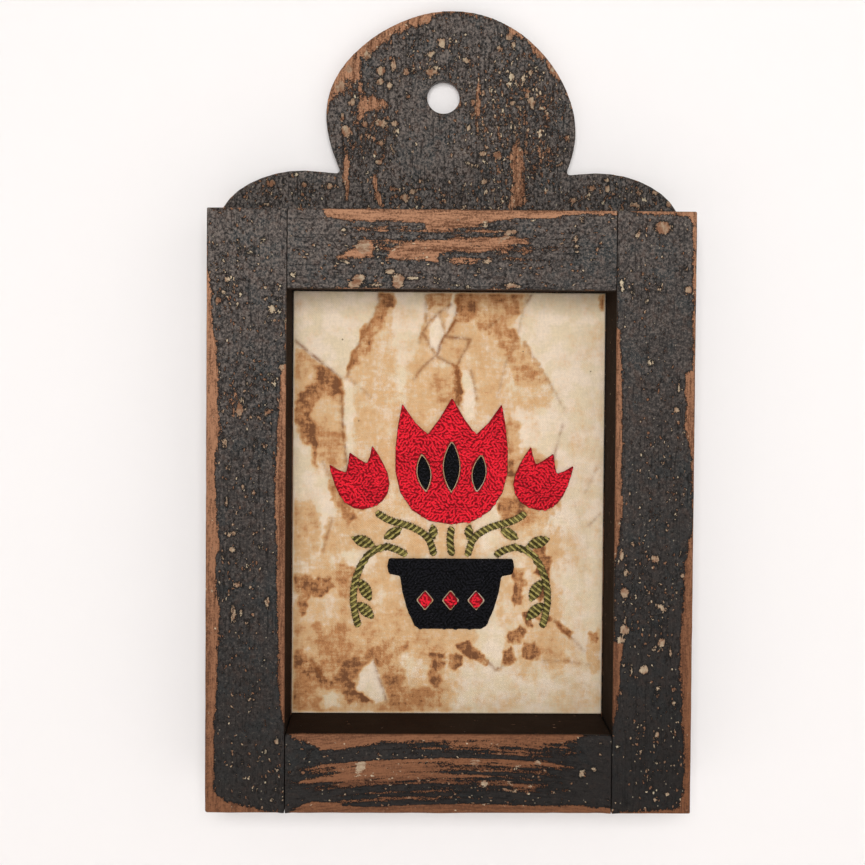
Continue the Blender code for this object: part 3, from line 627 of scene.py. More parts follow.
# %% Single flakes
KNOCKED = (
    # across, up, half_w, half_h, turn, paleness
    (-3.9, 303.9, 1.6, 2, 0, 0.4), (-8.5, 299.2, 2.6, 1, 20, 0.5), (-6.3, 294, 3.2, 0.6, 12, 0.9),
    (-8.1, 291.9, 2.9, 1.4, 0, 0.1), (-18.3, 291.9, 1.6, 1.6, 0, 0.2), (-15.3, 291.8, 1.1, 1.6, 0, 0.3),
    (6.2, 296.7, 1.6, 1.2, 0, 0.4), (-28.5, 292.2, 2.5, 1.8, 0, 0.1), (-23.6, 294.8, 1.1, 2.4, 0, 0.1),
    (-28.8, 287.9, 2.2, 1.2, 0, 0.1), (-25.2, 286.3, 0.9, 1.8, 0, 0.3),
    (-17.3, 281.8, 1.4, 1.2, 0, 0.3), (-40.3, 279.3, 1.6, 1.8, 0, 0.3),
    (-44.9, 285.4, 2.2, 2.9, 0, 0.1), (-41.3, 293, 1.8, 1.8, 0, 0.1), (-34.1, 298, 1.4, 2.2, 0, 0.3),
    (9.1, 279.8, 1.2, 1.8, 0, 0.2), (19.8, 301.6, 1.8, 1.3, 0, 0.3), (25.1, 303.5, 1, 1.6, 0, 0.3),
    (23.4, 306.8, 1.7, 1.7, 0, 0.2), (24.5, 290.4, 1.2, 1.5, 0, 0.8), (29.5, 289.8, 1, 1.6, 0, 0.6),
    (32.3, 292.3, 1.3, 1, 0, 0.3), (30.5, 282.9, 1.7, 1.3, 0, 0.3), (32.2, 280.6, 1.5, 2, -20, 0.4),
    (41.1, 293.7, 1.2, 1.2, 0, 0.5), (25.3, 279.8, 1.2, 1.3, 0, 0.3), (-42.6, 267.8, 2.4, 2.4, 0, 0.2),
    (-43.9, 272.9, 0.8, 1.8, 0, 0.1), (-35, 270.5, 1.8, 1.6, 0, 0.2), (-28.4, 270.9, 2.5, 1.6, 0, 0.2),
    (-22.8, 271, 2.2, 1.4, 0, 0.4), (-22.6, 268, 1.7, 1.3, 0, 0.8), (-33, 266, 0.9, 1.6, 0, 0.1),
    (-28.7, 263, 2.2, 1.4, 0, 0.2), (-24.7, 261.4, 2.2, 0.7, -50, 0.3),
    (-28.9, 255.5, 1.6, 1.6, 0, 0.3), (-48.3, 245.4, 2.2, 1.2, 8, 0.2), (-18.6, 241.1, 2, 2, 0, 0.2),
    (-15.7, 243.6, 1.5, 1.2, -30, 0.3), (-11.4, 248.4, 2.1, 0.9, 0, 0.4),
    (8.7, 254.6, 3.3, 0.7, -22, 0.5), (8.5, 274.8, 1.2, 1.6, 0, 0.3), (7.2, 269.6, 1.3, 1.2, 0, 0.4),
    (25.7, 270.1, 0.6, 2.8, 4, 0.8), (27, 278.2, 2.5, 0.9, -40, 0.4), (32.9, 279.1, 1.3, 2.2, 0, 0.4),
    (18.9, 258.6, 2.6, 2, 0, 0.3), (12.6, 259.2, 1.2, 1.2, 0, 0.2), (14, 248, 2.2, 1.3, 0, 0.4),
    (44, 255, 2.2, 0.7, 20, 0.3), (46.6, 266.1, 1.5, 2.2, 0, 0.3), (5.1, 244.9, 0.7, 2.1, 0, 0.4),
    (49.5, 240.4, 1.9, 1.2, 0, 0.2), (-72.9, 246.3, 2.2, 1.7, 0, 0.1), (-62.4, 250, 0.8, 0.6, 0, 1),
    (-59.1, 245.9, 1.3, 1.4, 0, 0.2), (-56.4, 243.2, 1.2, 1.2, 0, 0.2),
    (-48.7, 245.4, 2.5, 1.4, 10, 0.3), (-75.7, 237.7, 2.5, 0.6, 0, 0.3), (62.9, 249, 1.7, 1.1, 0, 0.4),
    (57.4, 245.6, 1.7, 1.4, -20, 0.2), (56, 242.6, 0.6, 2.3, -22, 0.7), (63.5, 245.6, 1.2, 1.4, 0, 0.1),
    (76.2, 244, 1.1, 1.1, 0, 0.3), (82.9, 244.1, 1.8, 1, 0, 0.1), (49.8, 240.8, 1.8, 1.2, 0, 0.4),
    (75, 238.8, 2.1, 0.9, 0, 0.1), (89, 239.3, 1.3, 1.4, 0, 0.2), (-72.6, 221.9, 0.9, 0.7, 0, 1),
    (-81.1, 218.1, 0.6, 1.9, -6, 0.9), (-78.2, 216.8, 1.1, 0.9, 0, 0.7),
    (-86.6, 206.5, 1.1, 1.5, 0, 0.3), (-87.6, 201.8, 1.1, 0.9, 0, 0.6),
    (-89.8, 198.4, 1.6, 1.7, 0, 0.3), (-84.1, 202, 0.8, 0.6, 0, 1), (-81.3, 200.7, 0.6, 0.8, 0, 1),
    (-66.4, 204, 0.9, 0.6, 0, 1), (-67.6, 199.5, 1, 0.6, -15, 0.9), (-69.2, 195, 1.3, 1.8, 0, 0.6),
    (-66, 194.7, 0.6, 1.3, -30, 0.9), (-64.2, 190.5, 0.6, 0.8, 0, 1), (-81.4, 156.8, 1.8, 2.8, 0, 0.1),
    (-80.7, 160, 1.4, 1, 0, 0.6), (-70.1, 155.8, 2.1, 1.3, 20, 0.2), (-73.8, 153.3, 1.3, 1, 0, 0.3),
    (-65.4, 172.6, 1, 1.7, -15, 0.3), (-68.4, 167.4, 0.8, 1.8, 0, 0.8),
    (-69.2, 170.1, 0.9, 0.6, 0, 0.9), (-87.3, 143.6, 1.1, 2.4, 0, 0.3), (-86.1, 134.2, 0.7, 2, 10, 0.3),
    (-86.5, 120.8, 0.7, 2, 0, 0.3), (-75.3, 143.3, 0.7, 2.1, 0, 0.3),
    (-71.9, 142.6, 0.9, 2.3, -15, 0.3), (-73.5, 135.1, 0.6, 2.1, 0, 0.3),
    (-75.8, 124.5, 1, 1.7, 0, 0.3), (-80.3, 126.9, 0.9, 1.1, 0, 0.3), (-84.2, 108.4, 2.1, 0.9, 25, 0.3),
    (-83.9, 102.4, 1.1, 1.1, 0, 0.3), (-73.6, 103.1, 0.7, 1.9, 0, 0.7),
    (-77.9, 95.9, 0.9, 1.3, -30, 0.8), (-87.3, 99.2, 0.7, 1.3, 0, 0.6), (-81.7, 88.7, 1.9, 1.3, 0, 0.2),
    (-70.5, 82.3, 1.1, 2, 0, 0.4), (-83.6, 79.2, 1, 2.1, 0, 0.4), (-80.4, 78.5, 0.7, 1.7, 0, 0.6),
    (-83.2, 76.3, 1.3, 2.3, 0, 0.4), (-78.3, 74.1, 0.9, 1.2, 0, 0.4), (-80, 66.6, 0.8, 1, 0, 0.4),
    (-71.5, 59.6, 0.6, 1, -30, 1), (-76.2, 44.5, 1.2, 1.1, 0, 0.5), (-66.7, 27.8, 1.3, 1.3, 0, 0.5),
    (-64.9, 26.3, 0.8, 0.6, 0, 0.9), (-71.3, 24.2, 0.6, 1, 0, 0.9), (-79.6, 19.7, 0.6, 1.6, 0, 0.5),
    (-66.4, 17.1, 1.3, 0.9, 0, 0.6), (-68.2, 5.1, 1, 1, 0, 0.5), (81.2, 227.7, 3.3, 2.8, 0, 0.1),
    (71.5, 225.2, 1, 1.5, -25, 0.4), (70.9, 232.3, 1, 1, 0, 0.7), (65.3, 206.4, 1.1, 1, 0, 0.9),
    (65.6, 203.9, 1.5, 0.9, 0, 1), (69.3, 202.8, 1, 1.2, 0, 1), (80.1, 204.3, 1.2, 1.5, 0, 0.7),
    (91.2, 203.8, 1.8, 1.6, 0, 0.3), (74.9, 199.4, 0.8, 1.1, -25, 0.8), (90.3, 211.8, 0.9, 1, 0, 0.2),
    (77, 175.5, 1.4, 1.2, 0, 0.7), (88.1, 167.2, 0.6, 2.1, 0, 0.3), (87.1, 157.5, 1.3, 1.1, 0, 0.2),
    (82.7, 136.7, 1.6, 0.9, -25, 0.3), (89.6, 132.1, 0.6, 0.6, 0, 1), (86.9, 116.9, 0.8, 1, -30, 0.9),
    (70.9, 105.2, 1.1, 0.9, 0, 0.2), (66.1, 101.2, 1.1, 2.4, 0, 0.2), (79.6, 99.6, 1.7, 1.9, 0, 0.2),
    (89.3, 102.1, 0.6, 1.4, 0, 0.4), (68.9, 94.3, 1.6, 1.1, 0, 0.3), (67.7, 86.5, 2.2, 2.3, 0, 0.3),
    (90.1, 93.4, 1.3, 0.9, 35, 0.3), (81.9, 80.8, 2.4, 1.1, -30, 0.3), (68, 71.8, 2.1, 2.3, 0, 0.4),
    (68.4, 75.2, 0.9, 1.5, 0, 0.4), (66.7, 67.9, 2.2, 1.4, 0, 0.5), (82.1, 67.2, 1.7, 2.1, 0, 0.3),
    (79.8, 64.8, 1.7, 0.9, 25, 0.4), (75.7, 56.2, 2, 1.9, 0, 0.4), (70.6, 56.7, 0.6, 1.9, 0, 0.3),
    (67.6, 58, 0.9, 1.1, 0, 0.7), (82.3, 72.9, 0.6, 1.8, -10, 0.5), (85.8, 62.8, 0.7, 2.1, 0, 0.2),
    (81, 48.9, 0.8, 1.5, -15, 0.4), (87.2, 48.9, 1.5, 1.3, 0, 0.2), (87.6, 43.2, 1.9, 0.8, -20, 0.4),
    (74.1, 34.6, 1.5, 0.7, 35, 0.5), (81.2, 30.8, 1, 1.3, 0, 0.4), (65.6, 26.3, 0.9, 0.6, 0, 1),
    (74.7, 24.2, 1, 1, 0, 0.6), (80.3, 20.1, 0.7, 0.6, 0, 1), (78.5, 13.7, 0.6, 1.7, -30, 0.7),
    (80.4, 5.4, 1.1, 1, 0, 0.4), (70.9, 4.2, 1.3, 0.7, 0, 0.4), (87.7, 31.4, 1, 1.5, 0, 0.3),
    (-34.4, 219.5, 2.7, 3.4, 0, 0.3), (-40.5, 213.3, 2.8, 0.7, -25, 0.7),
    (-41.8, 225.8, 1, 0.9, 0, 0.9), (-28.9, 217.7, 1, 0.9, 0, 1), (-61.2, 208.5, 1.1, 0.9, 0, 0.9),
    (-23.9, 210.1, 2.7, 1.3, 0, 0.4), (-36.8, 206, 4, 2.4, 40, 0.4), (-38.6, 199.9, 1.6, 1.8, 0, 0.5),
    (-20.9, 206.1, 2.5, 3.4, -20, 0.3), (-29.4, 204.8, 3.7, 0.7, 5, 0.7),
    (-15.4, 207.5, 1.6, 0.6, 0, 0.7), (-6.5, 207.6, 1.6, 0.6, -35, 0.6),
    (-12.3, 204.2, 2.1, 0.6, 0, 0.6), (-9.2, 202, 1.6, 0.7, 0, 0.7), (-0, 205.4, 1, 0.7, 0, 0.9),
    (-54.5, 202.5, 1.3, 2.1, -30, 0.3), (-49.9, 198.7, 1.3, 1, 0, 0.5), (-0.2, 193.5, 1.1, 0.7, 0, 0.9),
    (13.4, 213.6, 1, 0.7, 0, 0.9), (25.9, 190.2, 3.3, 1.4, 12, 1), (-44, 192.5, 3.1, 2.1, -30, 0.3),
    (20.5, 224.2, 1.3, 3.7, -45, 0.3), (13.6, 213.7, 2.7, 0.7, 45, 0.5),
    (10.2, 211, 1.2, 1.6, -25, 0.5), (12.5, 228.1, 1.3, 1.2, 0, 0.7), (15.6, 226.6, 2.1, 0.7, -15, 0.3),
    (5.7, 204.2, 1.5, 0.9, 0, 1), (1.7, 205.2, 0.9, 0.9, 0, 1), (23.6, 225.8, 1.5, 1.2, 0, 0.2),
    (22.6, 204.6, 3.3, 1.2, 10, 0.2), (49.8, 230.3, 0.9, 1.2, 0, 0.4), (47.7, 222, 0.8, 3.2, 0, 0.5),
    (48.1, 218.3, 0.6, 1.6, 0, 0.6), (56.5, 221.1, 0.6, 0.7, 0, 1), (-54.2, 23.2, 1.2, 0.7, 30, 1),
    (-45.1, 21.8, 2.9, 0.8, 5, 0.6), (-34.2, 17.9, 1.3, 2.2, -30, 0.6), (10.3, 19.1, 1.3, 1, 0, 0.4),
    (14, 11.7, 1.2, 1.9, 0, 0.3), (24.1, 12.4, 1.3, 0.8, 0, 0.3), (26.4, 17.7, 1.5, 0.6, 25, 0.5),
    (22.2, 9.5, 2.9, 0.7, -25, 0.4), (26, 8.4, 0.9, 1.2, 0, 0.3), (34.6, 19.9, 0.8, 1.3, 0, 0.4),
    (51.8, 15.7, 1.2, 1.9, -35, 0.6), (56.6, 17.4, 1.3, 1.2, 0, 0.7), (59, 27.8, 1, 0.8, 0, 0.4),
)
print("single flakes:", len(KNOCKED))

# %% [markdown]
# These helpers read the tables at any set of points: the distance to a straight run, the inside of an
# outline, the nearest flake, the strongest oval, and a smooth noise that makes all of it uneven.

# %% Helpers that read the tables
KNOCK_FAR = -2.0
OVAL_END, OVAL_SOFT = 1.15, 0.6


def run_distance(across, up, start, end):
    """Distance from each point to a straight run between two points of the plan."""
    dx, dz = end[0] - start[0], end[1] - start[1]
    share = ((across - start[0]) * dx + (up - start[1]) * dz) / (dx * dx + dz * dz)
    share = np.clip(share, 0.0, 1.0)
    return np.hypot(across - start[0] - share * dx, up - start[1] - share * dz)


def patch_mask(across, up, corners, soft):
    """1 inside a polygon and 0 outside it, with its border spread over the soft width in mm."""
    inside = np.zeros(len(across), bool)
    distance = np.full(len(across), 1e9)
    for start, end in zip(corners, corners[1:] + corners[:1]):
        distance = np.minimum(distance, run_distance(across, up, start, end))
        crosses = (start[1] > up) != (end[1] > up)
        rise = end[1] - start[1] or 1.0
        inside ^= crosses & (across < start[0] + (up - start[1]) * (end[0] - start[0]) / rise)
    return np.clip(np.where(inside, distance, -distance) / soft + 0.5, 0.0, 1.0)


def oval_axes(across, up, x, z, turn):
    """Each point's place along the two axes of a turned oval, in mm from its middle."""
    cos, sin = math.cos(math.radians(turn)), math.sin(math.radians(turn))
    return (across - x) * cos + (up - z) * sin, (up - z) * cos - (across - x) * sin


def knock_fields(across, up):
    """How far inside the nearest single flake each point lies, in mm, and how pale that flake is."""
    deepest, paleness = np.full(len(across), KNOCK_FAR), np.zeros(len(across))
    for x, z, half_w, half_h, turn, pale in KNOCKED:
        u, v = oval_axes(across, up, x, z, turn)
        inside = (1.0 - np.hypot(u / half_w, v / half_h)) * min(half_w, half_h)
        nearer = inside > deepest
        deepest = np.where(nearer, inside, deepest)
        paleness = np.where(nearer, pale, paleness)
    return deepest, paleness


def ovals(across, up, table):
    """The strongest of a table's ovals at each point: full inside, soft in the outer half."""
    total = np.zeros(len(across))
    for x, z, half_w, half_h, turn, strength in table:
        u, v = oval_axes(across, up, x, z, turn)
        reach = ((np.abs(u) / half_w) ** 3 + (np.abs(v) / half_h) ** 3) ** (1 / 3)
        total = np.maximum(total, strength * np.clip((OVAL_END - reach) / OVAL_SOFT, 0.0, 1.0))
    return total


def drift(points, size):
    """Smooth noise from -1 to 1 at each point, with lumps of the given size in millimetres."""
    scale = 1 / (size * MM)
    return np.array([noise.noise(Vector(point) * scale) for point in points])


sample = np.array([[0.0, 15.0], [80.0, 100.0]])
print("thin paint on the lower rail and the right stile:", ovals(*sample.T, WORN).round(2))

# %% [markdown]
# A new piece needs the same few steps each time: a mesh from points and faces, values for the
# shader at each point, a material, the body that it rides on, and the solid that it stands for.


# %% Helper for pieces
def write_values(mesh, values):
    """Stores named numbers on the mesh, one for each point, for the shader to read."""
    for key, numbers in values.items():
        layer = mesh.attributes.new(key, "FLOAT", "POINT")
        layer.data.foreach_set("value", np.asarray(numbers, np.float32))


def new_mesh(name, points, faces, values):
    mesh = bpy.data.meshes.new(name)
    mesh.from_pydata([tuple(point) for point in points], [], [tuple(face) for face in faces])
    write_values(mesh, values)
    mesh.shade_smooth()
    return mesh


def add_piece(name, mesh, material, slot, *nodes):
    """A piece on the sampler's one body, which takes the place of its solids."""
    piece = add_object(name, mesh)
    mesh.materials.clear()
    mesh.materials.append(material)
    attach(piece, BODY)
    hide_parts(*nodes)
    mesh.calc_loop_triangles()
    print(name, "triangles:", len(mesh.loop_triangles))
    return piece


# %% [markdown]
# A squared board is a box whose skin is a close grid of quads, with the lines nearest the edges set
# closer still. The grid lets each edge be rounded by a radius that changes along it, as a plane and
# years of handling leave it. A cube with a bevel would be quicker, but all its edges would be alike.

# %% Helpers for boards
CELL = 0.95
EDGE_LINES = (0.0, 0.3, 0.65, 1.1, 1.7)


def grid_lines(low, high):
    """Places of the grid's lines between two ends in metres, closer together near both ends."""
    near = np.array(EDGE_LINES) * MM
    steps = max(2, round((high - low - 2 * near[-1]) / (CELL * MM)))
    inner = np.linspace(low + near[-1], high - near[-1], steps + 1)
    return np.concatenate((low + near[:-1], inner, high - near[-2::-1]))


def box_skin(lines):
    """Points and quads of a box's skin, from the places of the grid's lines along each axis."""
    points, quads, count = [], [], 0
    for axis in range(3):
        first, second = (axis + 1) % 3, (axis + 2) % 3
        for side in (0, -1):
            one, two = np.meshgrid(lines[first], lines[second], indexing="ij")
            face = np.empty(one.shape + (3,))
            face[..., axis] = lines[axis][side]
            face[..., first] = one
            face[..., second] = two
            index = count + np.arange(one.size).reshape(one.shape)
            ring = (index[:-1, :-1], index[1:, :-1], index[1:, 1:], index[:-1, 1:])
            if side == 0:
                ring = ring[::-1]
            points.append(face.reshape(-1, 3))
            quads.append(np.stack(ring, axis=-1).reshape(-1, 4))
            count += one.size
    return welded(np.concatenate(points), np.concatenate(quads))


def welded(points, quads):
    """The same skin with the points that lie together made one."""
    keys, index = np.unique(np.round(points * 1e7).astype(np.int64), axis=0, return_inverse=True)
    return keys * 1e-7, index.reshape(-1)[quads]


def rounded(points, low, high, radius):
    """Moves the points near a box's edges onto arcs of the radius given for each point."""
    middle = (low + high) / 2
    half = (high - low) / 2
    away = points - middle
    inner = half - radius[:, None]
    over = np.maximum(np.abs(away) - inner, 0.0)
    length = np.linalg.norm(over, axis=1)[:, None]
    arc = np.minimum(np.abs(away), inner) + over * radius[:, None] / np.maximum(length, 1e-9)
    return middle + np.sign(away) * arc


print("grid of a board in mm:", CELL, "with edge lines at", EDGE_LINES)

# %% [markdown]
# The four boards of the frame. The stiles run the full height with vertical grain, and the rails
# fit between them with level grain, so the only joints that show are four dark lines. At a joint
# the edges stay nearly sharp. Elsewhere they are worn round, and here and there dented.

# %% Frame boards
BOARDS = (
    # node, grain turned, arch of the grain, offset
    ("stile_left", False, 0.0, 0.11),
    ("stile_right", False, 0.0, 0.37),
    ("rail_top", True, -0.3, 0.53),
    ("rail_bottom", True, 1.2, 0.71),
)
SHARP_EDGE = 0.12
WORN_EDGE = 0.75
EDGE_CHANGE = 0.55
DENT = 0.9
SURFACE_WAVE = 0.10
JOINT_REACH = 2.0
# painted light: paint and bare wood grow lighter upwards over this many mm, and a little darker to the
# right by this share per mm
PAINTED_LIGHT_SPAN = 245.0
PAINTED_LIGHT_LEFT = 0.0012
# the size in mm of the lumps of each unevenness
EDGE_LUMPS, DENT_LUMPS, WAVE_LUMPS = 13.0, 7.0, 22.0
WEAR_LUMPS, PATCH_LUMPS = 17.0, 30.0
# how deep in mm the front's wear reaches round an edge, and how far from an edge the rubbing reaches
FRONT_SKIN, WEAR_DEPTH = 0.6, 2.5
EDGE_REACH, EDGE_WEAR = 0.8, 0.36
SIDE_CHIPS = 0.3
OPENING_SLACK = 0.5
WALL_START, WALL_SPREAD = 0.8, 1.2


def near_joint(across, up):
    """1 at the four joints between stiles and rails, falling to 0 a little way off."""
    beside = np.abs(np.abs(across) - OPEN_HALF_W)
    rail = np.maximum(OPEN_LOW - up, up - OPEN_HIGH)
    return np.clip(1.5 - beside / JOINT_REACH, 0.0, 1.0) * np.clip(rail / JOINT_REACH, 0.0, 1.0)


def board_values(points, edge_distance, depth):
    """The values that the painted wood reads at each point: its wear, its flakes and its colour."""
    across, up = plan(points)
    front = np.exp(-np.maximum(depth - FRONT_SKIN, 0.0) / WEAR_DEPTH)
    bare = np.zeros(len(across))
    for strength, soft, corners in BARE:
        bare = np.maximum(bare, strength * patch_mask(across, up, corners, soft))
    patches = np.maximum(ovals(across, up, WORN), bare) * front
    harder = ovals(across, up, EDGE_WORN)
    uneven = EDGE_WEAR + harder + 0.5 * drift(points, WEAR_LUMPS)
    edges = np.exp(-edge_distance / EDGE_REACH) * uneven
    edges *= 1.0 - near_joint(across, up)
    wear = np.maximum(patches, edges) + BASE_WEAR + 0.05 * drift(points + 1.0, PATCH_LUMPS)
    chips = np.maximum(ovals(across, up, CHIPPED) * front, SIDE_CHIPS * (1 - front)) + BASE_CHIPS
    knock, pale = knock_fields(across, up)
    between = np.abs(across) < OPEN_HALF_W + OPENING_SLACK
    opening = between & (up > OPEN_LOW - OPENING_SLACK) & (up < OPEN_HIGH + OPENING_SLACK)
    # the inner walls of the opening, which the shader paints dark brown as stain and as painted shade
    inside = opening * np.clip((depth - WALL_START) / WALL_SPREAD, 0.0, 1.0)
    return {
        "wear": wear * (1 - 0.7 * inside),
        "drawn": ovals(across, up, DRAWN),
        "chips": chips * (1 - 0.8 * inside),
        "knock": knock * front + KNOCK_FAR * (1 - front),
        "pale": pale,
        # painted light and shade, from 0 at the bottom to 1 at the top, a little higher on the left
        "painted_light": np.clip(up / PAINTED_LIGHT_SPAN - across * PAINTED_LIGHT_LEFT, 0.0, 1.0),
        "inside": inside,
    }


def make_board(node, turned, arch, offset):
    low, high = (np.array(corner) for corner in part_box(node))
    points, quads = box_skin([grid_lines(low[axis], high[axis]) for axis in range(3)])
    to_sides = np.minimum(points - low, high - points)
    to_edge = np.sort(to_sides, axis=1)[:, 1] / MM
    dents = np.clip(drift(points + 2.0, DENT_LUMPS) - 0.35, 0.0, 1.0) * DENT
    radius = WORN_EDGE + EDGE_CHANGE * drift(points, EDGE_LUMPS) + dents
    joint = near_joint(*plan(points))
    radius = np.maximum(SHARP_EDGE, radius * (1 - joint) + SHARP_EDGE * joint) * MM
    wave = (drift(points + 3.0, WAVE_LUMPS) - 1.0) * SURFACE_WAVE * MM
    wave *= np.clip(to_edge / 3.0, 0.0, 1.0)
    depth = (points[:, 1] - FRONT_Y) / MM
    moved = rounded(points, low, high, radius)
    every, side = np.arange(len(points)), np.argmin(to_sides, axis=1)
    moved[every, side] += np.sign(points - (low + high) / 2)[every, side] * wave
    mesh = new_mesh("painted_" + node, moved, quads, board_values(points, to_edge, depth))
    finish = painted_wood("paint_of_" + node, turned, arch, offset)
    add_piece("painted_" + node, mesh, finish, "frame_paint", node)


for row in BOARDS:
    make_board(*row)

# %% [markdown]
# The backboard is one thin board, sawn at the top into two shoulders and a round head with a nail
# hole. Its outline is curved, so a box grid doesn't fit. A voxel remesh of the solid turns it into
# an even grid of quads, close enough for wear along the sawn edge. The part of its front that the
# frame and the cloth cover is never seen, and the back behind it is plain, so the faces of both are
# dissolved again.

# %% Backboard
VOXEL = 0.00068
COVERED_MARGIN = 3.0
SAW_RIPPLE, SAW_LUMPS = 0.12, 9.0
RIM_FIRST, RIM_LAST = 0.25, 9.0
BOARD_GRAIN = 0.91


def even_grid(node, size):
    """The node's solid as an even grid of quads, through a voxel remesh."""
    source = add_object("grid_source", NODES[node].data.copy())
    remesh = source.modifiers.new("even grid", "REMESH")
    remesh.mode = "VOXEL"
    remesh.voxel_size = size
    graph = bpy.context.evaluated_depsgraph_get()
    mesh = bpy.data.meshes.new_from_object(source.evaluated_get(graph))
    bpy.data.objects.remove(source, do_unlink=True)
    return mesh


def dissolve_covered(mesh):
    """Joins the faces of the board's front and back that lie well inside the frame's outline."""
    bm = bmesh.new()
    bm.from_mesh(mesh)
    covered = []
    for face in bm.faces:
        middle = face.calc_center_median()
        across = abs(middle.x - MIDDLE_X) / MM
        up = (middle.z - FOOT_Z) / MM
        inside = across < HALF_W - COVERED_MARGIN and COVERED_MARGIN < up < FRAME_TALL - COVERED_MARGIN
        if inside and abs(face.normal.y) > 0.99:
            covered.append(face)
    bmesh.ops.dissolve_faces(bm, faces=covered, use_verts=True)
    bm.to_mesh(mesh)
    bm.free()


def rim_distance(points, normals):
    """How far each point lies from the nearest point of the sawn edge, in millimetres."""
    rim = points[np.abs(normals[:, 1]) < 0.6]
    tree = kdtree.KDTree(len(rim))
    for index, point in enumerate(rim):
        tree.insert((point[0], 0.0, point[2]), index)
    tree.balance()
    return np.array([tree.find((point[0], 0.0, point[2]))[2] for point in points]) / MM


def make_backboard():
    mesh = even_grid("backboard", VOXEL)
    dissolve_covered(mesh)
    mesh.name = "painted_backboard"
    points = np.array([vert.co for vert in mesh.vertices])
    normals = np.array([vert.normal for vert in mesh.vertices])
    distance = rim_distance(points, normals)
    depth = (points[:, 1] - BOARD_FRONT_Y) / MM
    values = board_values(points, np.minimum(distance, RIM_LAST) + RIM_FIRST, depth)
    values["inside"] *= 0.0
    write_values(mesh, values)
    ripple = (drift(points, SAW_LUMPS) - 1.0) * SAW_RIPPLE * MM * np.exp(-distance / 1.5)
    moved = points + normals * ripple[:, None]
    mesh.vertices.foreach_set("co", moved.astype(np.float32).ravel())
    mesh.shade_smooth()
    finish = painted_wood("paint_of_backboard", False, 0.0, BOARD_GRAIN)
    return add_piece("painted_backboard", mesh, finish, "frame_paint", "backboard")


backboard = make_backboard()

# %% [markdown]
# The ground is a piece of muslin that was crumpled, dyed in tea and pressed flat again, so it keeps
# sharp creases and blotches with dark borders. Its solid has the broad folds. The sheet here lies on
# that surface and adds the finer creases, each a chain of straight runs across the cloth.

# %% Folds and creases of the cloth
CREASES = (
    # height in mm, darkness, then the points that it runs through, in mm from the cloth's middle
    (0.30, 0.85, ((-62.6, 65.8), (-44.2, 50.8))),
    (0.28, 0.75, ((-44.2, 50.8), (-43.4, 41.9), (-43.0, 29.7), (-42.2, 23.6), (-41.0, 11.8))),
    (0.26, 0.60, ((-29.1, 87.8), (-28.7, 80.5), (-30.8, 76.4), (-32.8, 71.9), (-35.7, 66.3),
        (-39.3, 59.7), (-41.4, 50.8))),
    (0.20, 0.35, ((-44.2, 50.8), (-41.4, 50.8), (-36.5, 47.6), (-31.6, 42.7))),
    (0.24, 0.70, ((0.2, 80.9), (-5.1, 76.8), (-8.8, 73.2), (-11.2, 69.1), (-12.0, 65.8))),
    (0.22, 0.60, ((-10.8, 69.1), (-7.9, 64.2), (-5.5, 60.2), (-2.2, 58.1), (1.0, 56.5), (2.6, 55.7))),
    (0.28, 0.90, ((3.1, 86.6), (3.5, 80.5), (2.2, 74.4), (-1.0, 69.1), (-2.2, 67.9), (-3.9, 64.2),
        (-4.7, 61.0))),
    (0.18, 0.45, ((-4.3, 76.4), (-2.6, 72.3), (-1.8, 68.7))),
    (0.20, 0.60, ((-4.7, 60.6), (-7.5, 58.5), (-11.2, 54.9), (-14.1, 50.8))),
    (0.22, 0.80, ((-2.2, 67.9), (2.6, 67.5), (8.4, 66.7))),
    (0.20, 0.70, ((8.4, 66.7), (5.9, 61.4), (3.1, 56.1))),
    (0.26, 0.90, ((2.6, 56.1), (3.5, 50.8), (3.9, 42.7), (3.5, 33.7))),
    (0.20, 0.80, ((-9.2, 84.9), (-3.9, 85.4), (1.0, 87.0))),
    (0.18, 0.50, ((8.8, 54.1), (10.0, 49.2), (11.2, 42.7))),
    (0.18, 0.70, ((14.5, 71.1), (16.5, 72.3), (19.8, 75.2))),
    (0.18, 0.50, ((-10.0, 87.0), (-9.6, 80.5), (-9.6, 74.0))),
    (0.20, 0.70, ((34.0, 86.6), (30.8, 81.3))),
    (0.34, 0.30, ((31.6, 85.8), (27.5, 68.3), (22.6, 56.1), (19.8, 43.5))),
    (0.20, 0.40, ((30.4, 65.4), (34.0, 59.7), (38.9, 52.8), (43.4, 44.7), (46.7, 38.6))),
    (0.22, 0.45, ((46.3, 32.1), (43.4, 21.5), (42.2, 13.4), (43.0, 6.1))),
    (0.20, 0.40, ((57.3, -8.9), (61.7, -4.1))),
    (0.16, 0.25, ((60.5, 15.0), (56.0, 4.9))),
    (0.18, 0.35, ((-51.1, 17.1), (-46.7, 6.5))),
    (0.20, 0.45, ((-47.1, -6.5), (-50.7, -19.5))),
    (0.24, 0.80, ((-55.2, -64.2), (-50.3, -71.5))),
    (0.22, 0.65, ((-30.0, -63.4), (-28.3, -69.9), (-25.9, -76.0), (-24.7, -81.3))),
    (0.22, 0.60, ((43.8, -47.9), (50.3, -54.4), (56.0, -60.1))),
    (0.18, 0.40, ((39.3, -64.2), (49.1, -64.2), (58.1, -65.8))),
    (0.20, 0.65, ((15.7, -63.8), (19.8, -67.9), (22.6, -66.6), (25.5, -63.4))),
    (-0.20, 0.00, ((51.1, 4.5), (45.0, -6.9), (46.3, -18.3))),
    (-0.16, 0.00, ((-60.9, 52.0), (-52.0, 33.7), (-54.4, 13.4))),
    (0.16, 0.00, ((-12.0, -61.8), (2.2, -70.3), (20.6, -68.7))),
    (-0.16, 0.10, ((51.1, 1.2), (57.3, -15.0), (55.2, -31.3))),
)
print("creases:", len(CREASES))

# %% [markdown]
# A crease is a low ridge with a thin dark line along it. The second helper looks straight back from
# the front at one of the solids, and finds where its surface lies.

